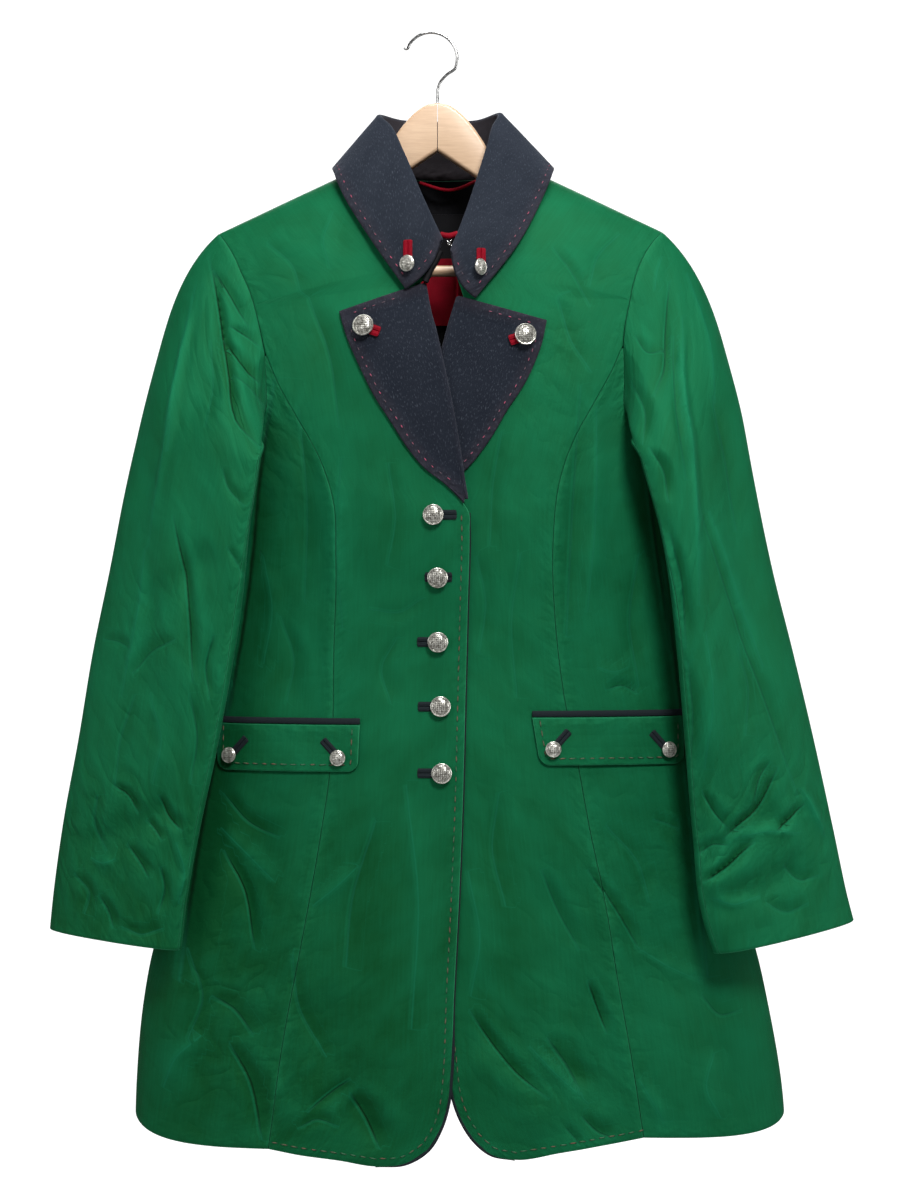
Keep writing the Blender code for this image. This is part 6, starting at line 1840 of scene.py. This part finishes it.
# %% Dark twill, black lining and red trims
tree, shader = finish("trim_navy", (0.010, 0.015, 0.019), 0.80, Specular_IOR_Level=0.15)
threads = placed(tree, weave, Vector=cloth_metres(tree), Pitch=0.0009, Weft=0.4, Slub=0.4)
shown(shader, Base_Color=mixed(threads["Shade"], (0.0030, 0.0062, 0.0080), (0.0110, 0.0160, 0.0195)))
bumped(shader, threads["Height"], 0.00012, 0.9)

tree, shader = finish("lining_black", (0.004, 0.004, 0.005), 0.60, Specular_IOR_Level=0.12)
threads = placed(tree, weave, Vector=cloth_metres(tree), Pitch=0.0006, Weft=0.6, Slub=0.3)
shown(shader, Base_Color=mixed(threads["Shade"], (0.0028, 0.0028, 0.0036), (0.0062, 0.0062, 0.0076)))
bumped(shader, threads["Height"], 0.00006, 0.7)

tree, shader = finish("trim_red", (0.30, 0.004, 0.018), 0.60, Specular_IOR_Level=0.07)
metres = cloth_metres(tree)
threads = placed(tree, weave, Vector=metres, Pitch=0.0007, Weft=0.8, Slub=0.4)
fuzz = placed(tree, nap, Vector=metres, Fibre=0.0009, Cloud=0.012)
shown(shader, Base_Color=layered(mixed(fuzz["Cloud"], (0.120, 0.0006, 0.005), (0.290, 0.0012, 0.013)),
                                 (threads["Shade"] * 0.5, (0.075, 0.0005, 0.003))))
bumped(shader, threads["Height"], 0.00010, 0.8)

# %% [markdown]
# The buttons were cast, blackened and rubbed bright again, so the joints between the facets stay dark. The
# "joint" attribute says where they are. The Pointiness of the Geometry node finds hollows too, but it does not
# survive an export.

# %% Silver, steel and birch
tree, shader = finish("button_metal", (0.50, 0.50, 0.46), 0.30, Metallic=0.70)
tarnish, joint = noise(solid_metres(tree), 420.0, 2.0, Roughness=0.5), attribute(tree, "joint")
silver = layered(mixed(between(tarnish, 0.36, 0.60), (0.26, 0.25, 0.22), (0.60, 0.59, 0.54)),
                 (joint * 0.93, (0.028, 0.026, 0.022)))
shown(shader, Base_Color=silver, Roughness=between(joint, 0.0, 1.0, 0.30, 0.65))

tree, shader = finish("hook_steel", (0.62, 0.62, 0.61), 0.20, Metallic=1.0)
drawn = noise(solid_metres(tree), 420.0, 3.0)
shown(shader, Base_Color=mixed(drawn, (0.50, 0.50, 0.50), (0.72, 0.72, 0.70)),
      Roughness=between(drawn, 0.3, 0.7, 0.12, 0.24))

tree, shader = finish("birch", (0.80, 0.60, 0.41), 0.42, Coat_Weight=0.35, Coat_Roughness=0.18)
along_arm = stretched(solid_metres(tree), (0.10, 1.0, 1.0), math.radians(-8))
grain = noise(along_arm, 420.0, 5.0, Roughness=0.62, Distortion=0.4)
wood = layered(mixed(grain, (0.60, 0.41, 0.26), (0.30, 0.175, 0.095)),
               (noise(along_arm, 70.0, 2.0) * 0.45, (0.62, 0.46, 0.31)))
shown(shader, Base_Color=wood)
bumped(shader, grain, 0.00008, 0.5)
print("finishes", [m.name for m in bpy.data.materials if m.use_nodes])

# %% [markdown]
# Stitching thread is matt and ribbed by its own twist. Its ends dip into the cloth, and the shade there is
# painted into the thread's colour: it darkens towards its tips.

# %% Threads
for kind, low, high, deep in (
        ("thread_green", (0.018, 0.085, 0.036), (0.090, 0.050, 0.026), (0.0012, 0.012, 0.005)),
        ("thread_navy", (0.070, 0.045, 0.060), (0.330, 0.045, 0.100), (0.0060, 0.005, 0.008))):
    tree, shader = finish(kind, low, 0.75)
    place = solid_metres(tree)
    ply = mixed(between(noise(place, 90.0, 3.0), 0.40, 0.60), low, high)
    # Painted shade: each dash darkens towards its tips, where it dips into the cloth.
    shown(shader, Base_Color=mixed(between(attribute(tree, "tip"), 0.42, 0.72), ply, deep))
    bumped(shader, noise(place, 1800.0, 2.0), 0.00012, 0.8)

# %% [markdown]
# ## Studio
#
# The jacket hangs in front of a pale sweep: a floor that curves up into a wall, so that no line shows behind it.
# The strongest light stands high to the right of the camera, and a large weak one to its left. One hangs above,
# two stand at the sides, and one lights the back.

# %% Sweep and lights
FLOOR, WALL, CURVE = -1.42, 3.4, 1.2  # the floor's height, the wall's distance, and the radius between them
bm = bmesh.new()
centre_y, centre_z = WALL - CURVE, -0.22
profile = [(-WALL, FLOOR), (centre_y, FLOOR)]
profile += [(centre_y + CURVE * math.sin(a), centre_z - CURVE * math.cos(a)) for a in np.radians(np.arange(6, 91, 6))]
profile += [(WALL, 3.2)]
chain = [bm.verts.new((-4.0, y, z)) for y, z in profile]
edges = [bm.edges.new(pair) for pair in zip(chain, chain[1:])]
made = bmesh.ops.extrude_edge_only(bm, edges=edges)["geom"]
bmesh.ops.translate(bm, vec=(8.0, 0, 0), verts=verts_of(made))
face_outward(bm)
sweep = finished("studio_sweep", bm, "studio_paper")
if sweep.data.polygons[0].normal.z < 0:
    sweep.data.flip_normals()
sweep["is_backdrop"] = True
tree, shader = finish("studio_paper", (0.30, 0.30, 0.30), 0.9, Emission_Strength=1.0)
bumped(shader, noise(solid_metres(tree), 300.0, 2.0), 0.0002, 0.2)
seen = Given(node(tree, "ShaderNodeLightPath"), "Is Camera Ray")
shown(shader, Emission_Color=mixed(seen, (0.05, 0.05, 0.05), (1.0, 1.0, 1.0)))


def softbox(name, at, aim, size, power):
    """A rectangular light at one place, turned to face another."""
    data = bpy.data.lights.new(name, "AREA")
    data.shape, data.size, data.size_y, data.energy = "RECTANGLE", *size, power
    light = bpy.data.objects.new(name, data)
    light.location = at
    light.rotation_euler = (Vector(aim) - Vector(at)).to_track_quat("-Z", "Y").to_euler()
    bpy.context.scene.collection.objects.link(light)


softbox("light_key", (0.62, -2.3, 1.2), (0.0, 0.0, -0.3), (0.7, 0.7), 84)
softbox("light_fill", (-1.4, -2.6, 0.2), (0.0, 0.0, -0.5), (1.2, 1.6), 17)
softbox("light_above", (0.1, -0.55, 1.5), (0.0, 0.0, -0.5), (1.0, 0.8), 34)
softbox("light_side_right", (2.2, -0.55, -0.3), (0.1, 0.0, -0.5), (0.6, 1.4), 16)
softbox("light_side_left", (-2.2, -0.65, -0.3), (-0.1, 0.0, -0.5), (0.6, 1.4), 11)
softbox("light_behind", (0.0, 1.9, 0.9), (0.0, 0.0, -0.5), (2.2, 1.2), 30)
world = bpy.context.scene.world or bpy.data.worlds.new("studio")
bpy.context.scene.world = world
world.use_nodes = True
world.node_tree.nodes["Background"].inputs[0].default_value = (1.0, 1.0, 1.0, 1.0)
world.node_tree.nodes["Background"].inputs[1].default_value = 0.06
bpy.context.scene.view_settings.view_transform = "Standard"
print("lights", [o.name for o in bpy.data.objects if o.type == "LIGHT"])

# %% [markdown]
# ## Sizes of the cloth
#
# Each sheet says how large its piece of cloth was before it was sewn: width and length, and the real area where
# the cut isn't a rectangle. The sizes are the ones that a pattern for this jacket would have.

# %% Sheets
def sheet(name):
    """Prints a cloth piece's cut: the width and length of its UV map, and the area of one of its sides."""
    piece = pieces[name]
    corners = read(piece.data.uv_layers["UVMap"].data, "uv", width=2)
    wide, long = (max(round(float(v), 3), 0.010) for v in np.ptp(corners.reshape(-1, 2), axis=0))
    area = sum(polygon.area for polygon in piece.data.polygons) / 2
    area = math.floor(min(area, wide * long) * 1e5) / 1e5
    print(name, "cut", wide, "x", long, "m, area", area)


for side_name in HALVES:
    sheet(f"front_{side_name}")
    sheet(f"side_front_{side_name}")
    sheet(f"back_{side_name}")
    sheet(f"sleeve_upper_{side_name}")
    sheet(f"sleeve_under_{side_name}")
    sheet(f"lapel_{side_name}")
    sheet(f"pocket_flap_{side_name}")
    sheet(f"pocket_welt_{side_name}")
sheet("collar")
sheet("back_neck_lining")
sheet("neck_label")

# %% Sizes, and the end
(low, high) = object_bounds()
print("visual box", [round(v, 3) for v in low], [round(v, 3) for v in high])
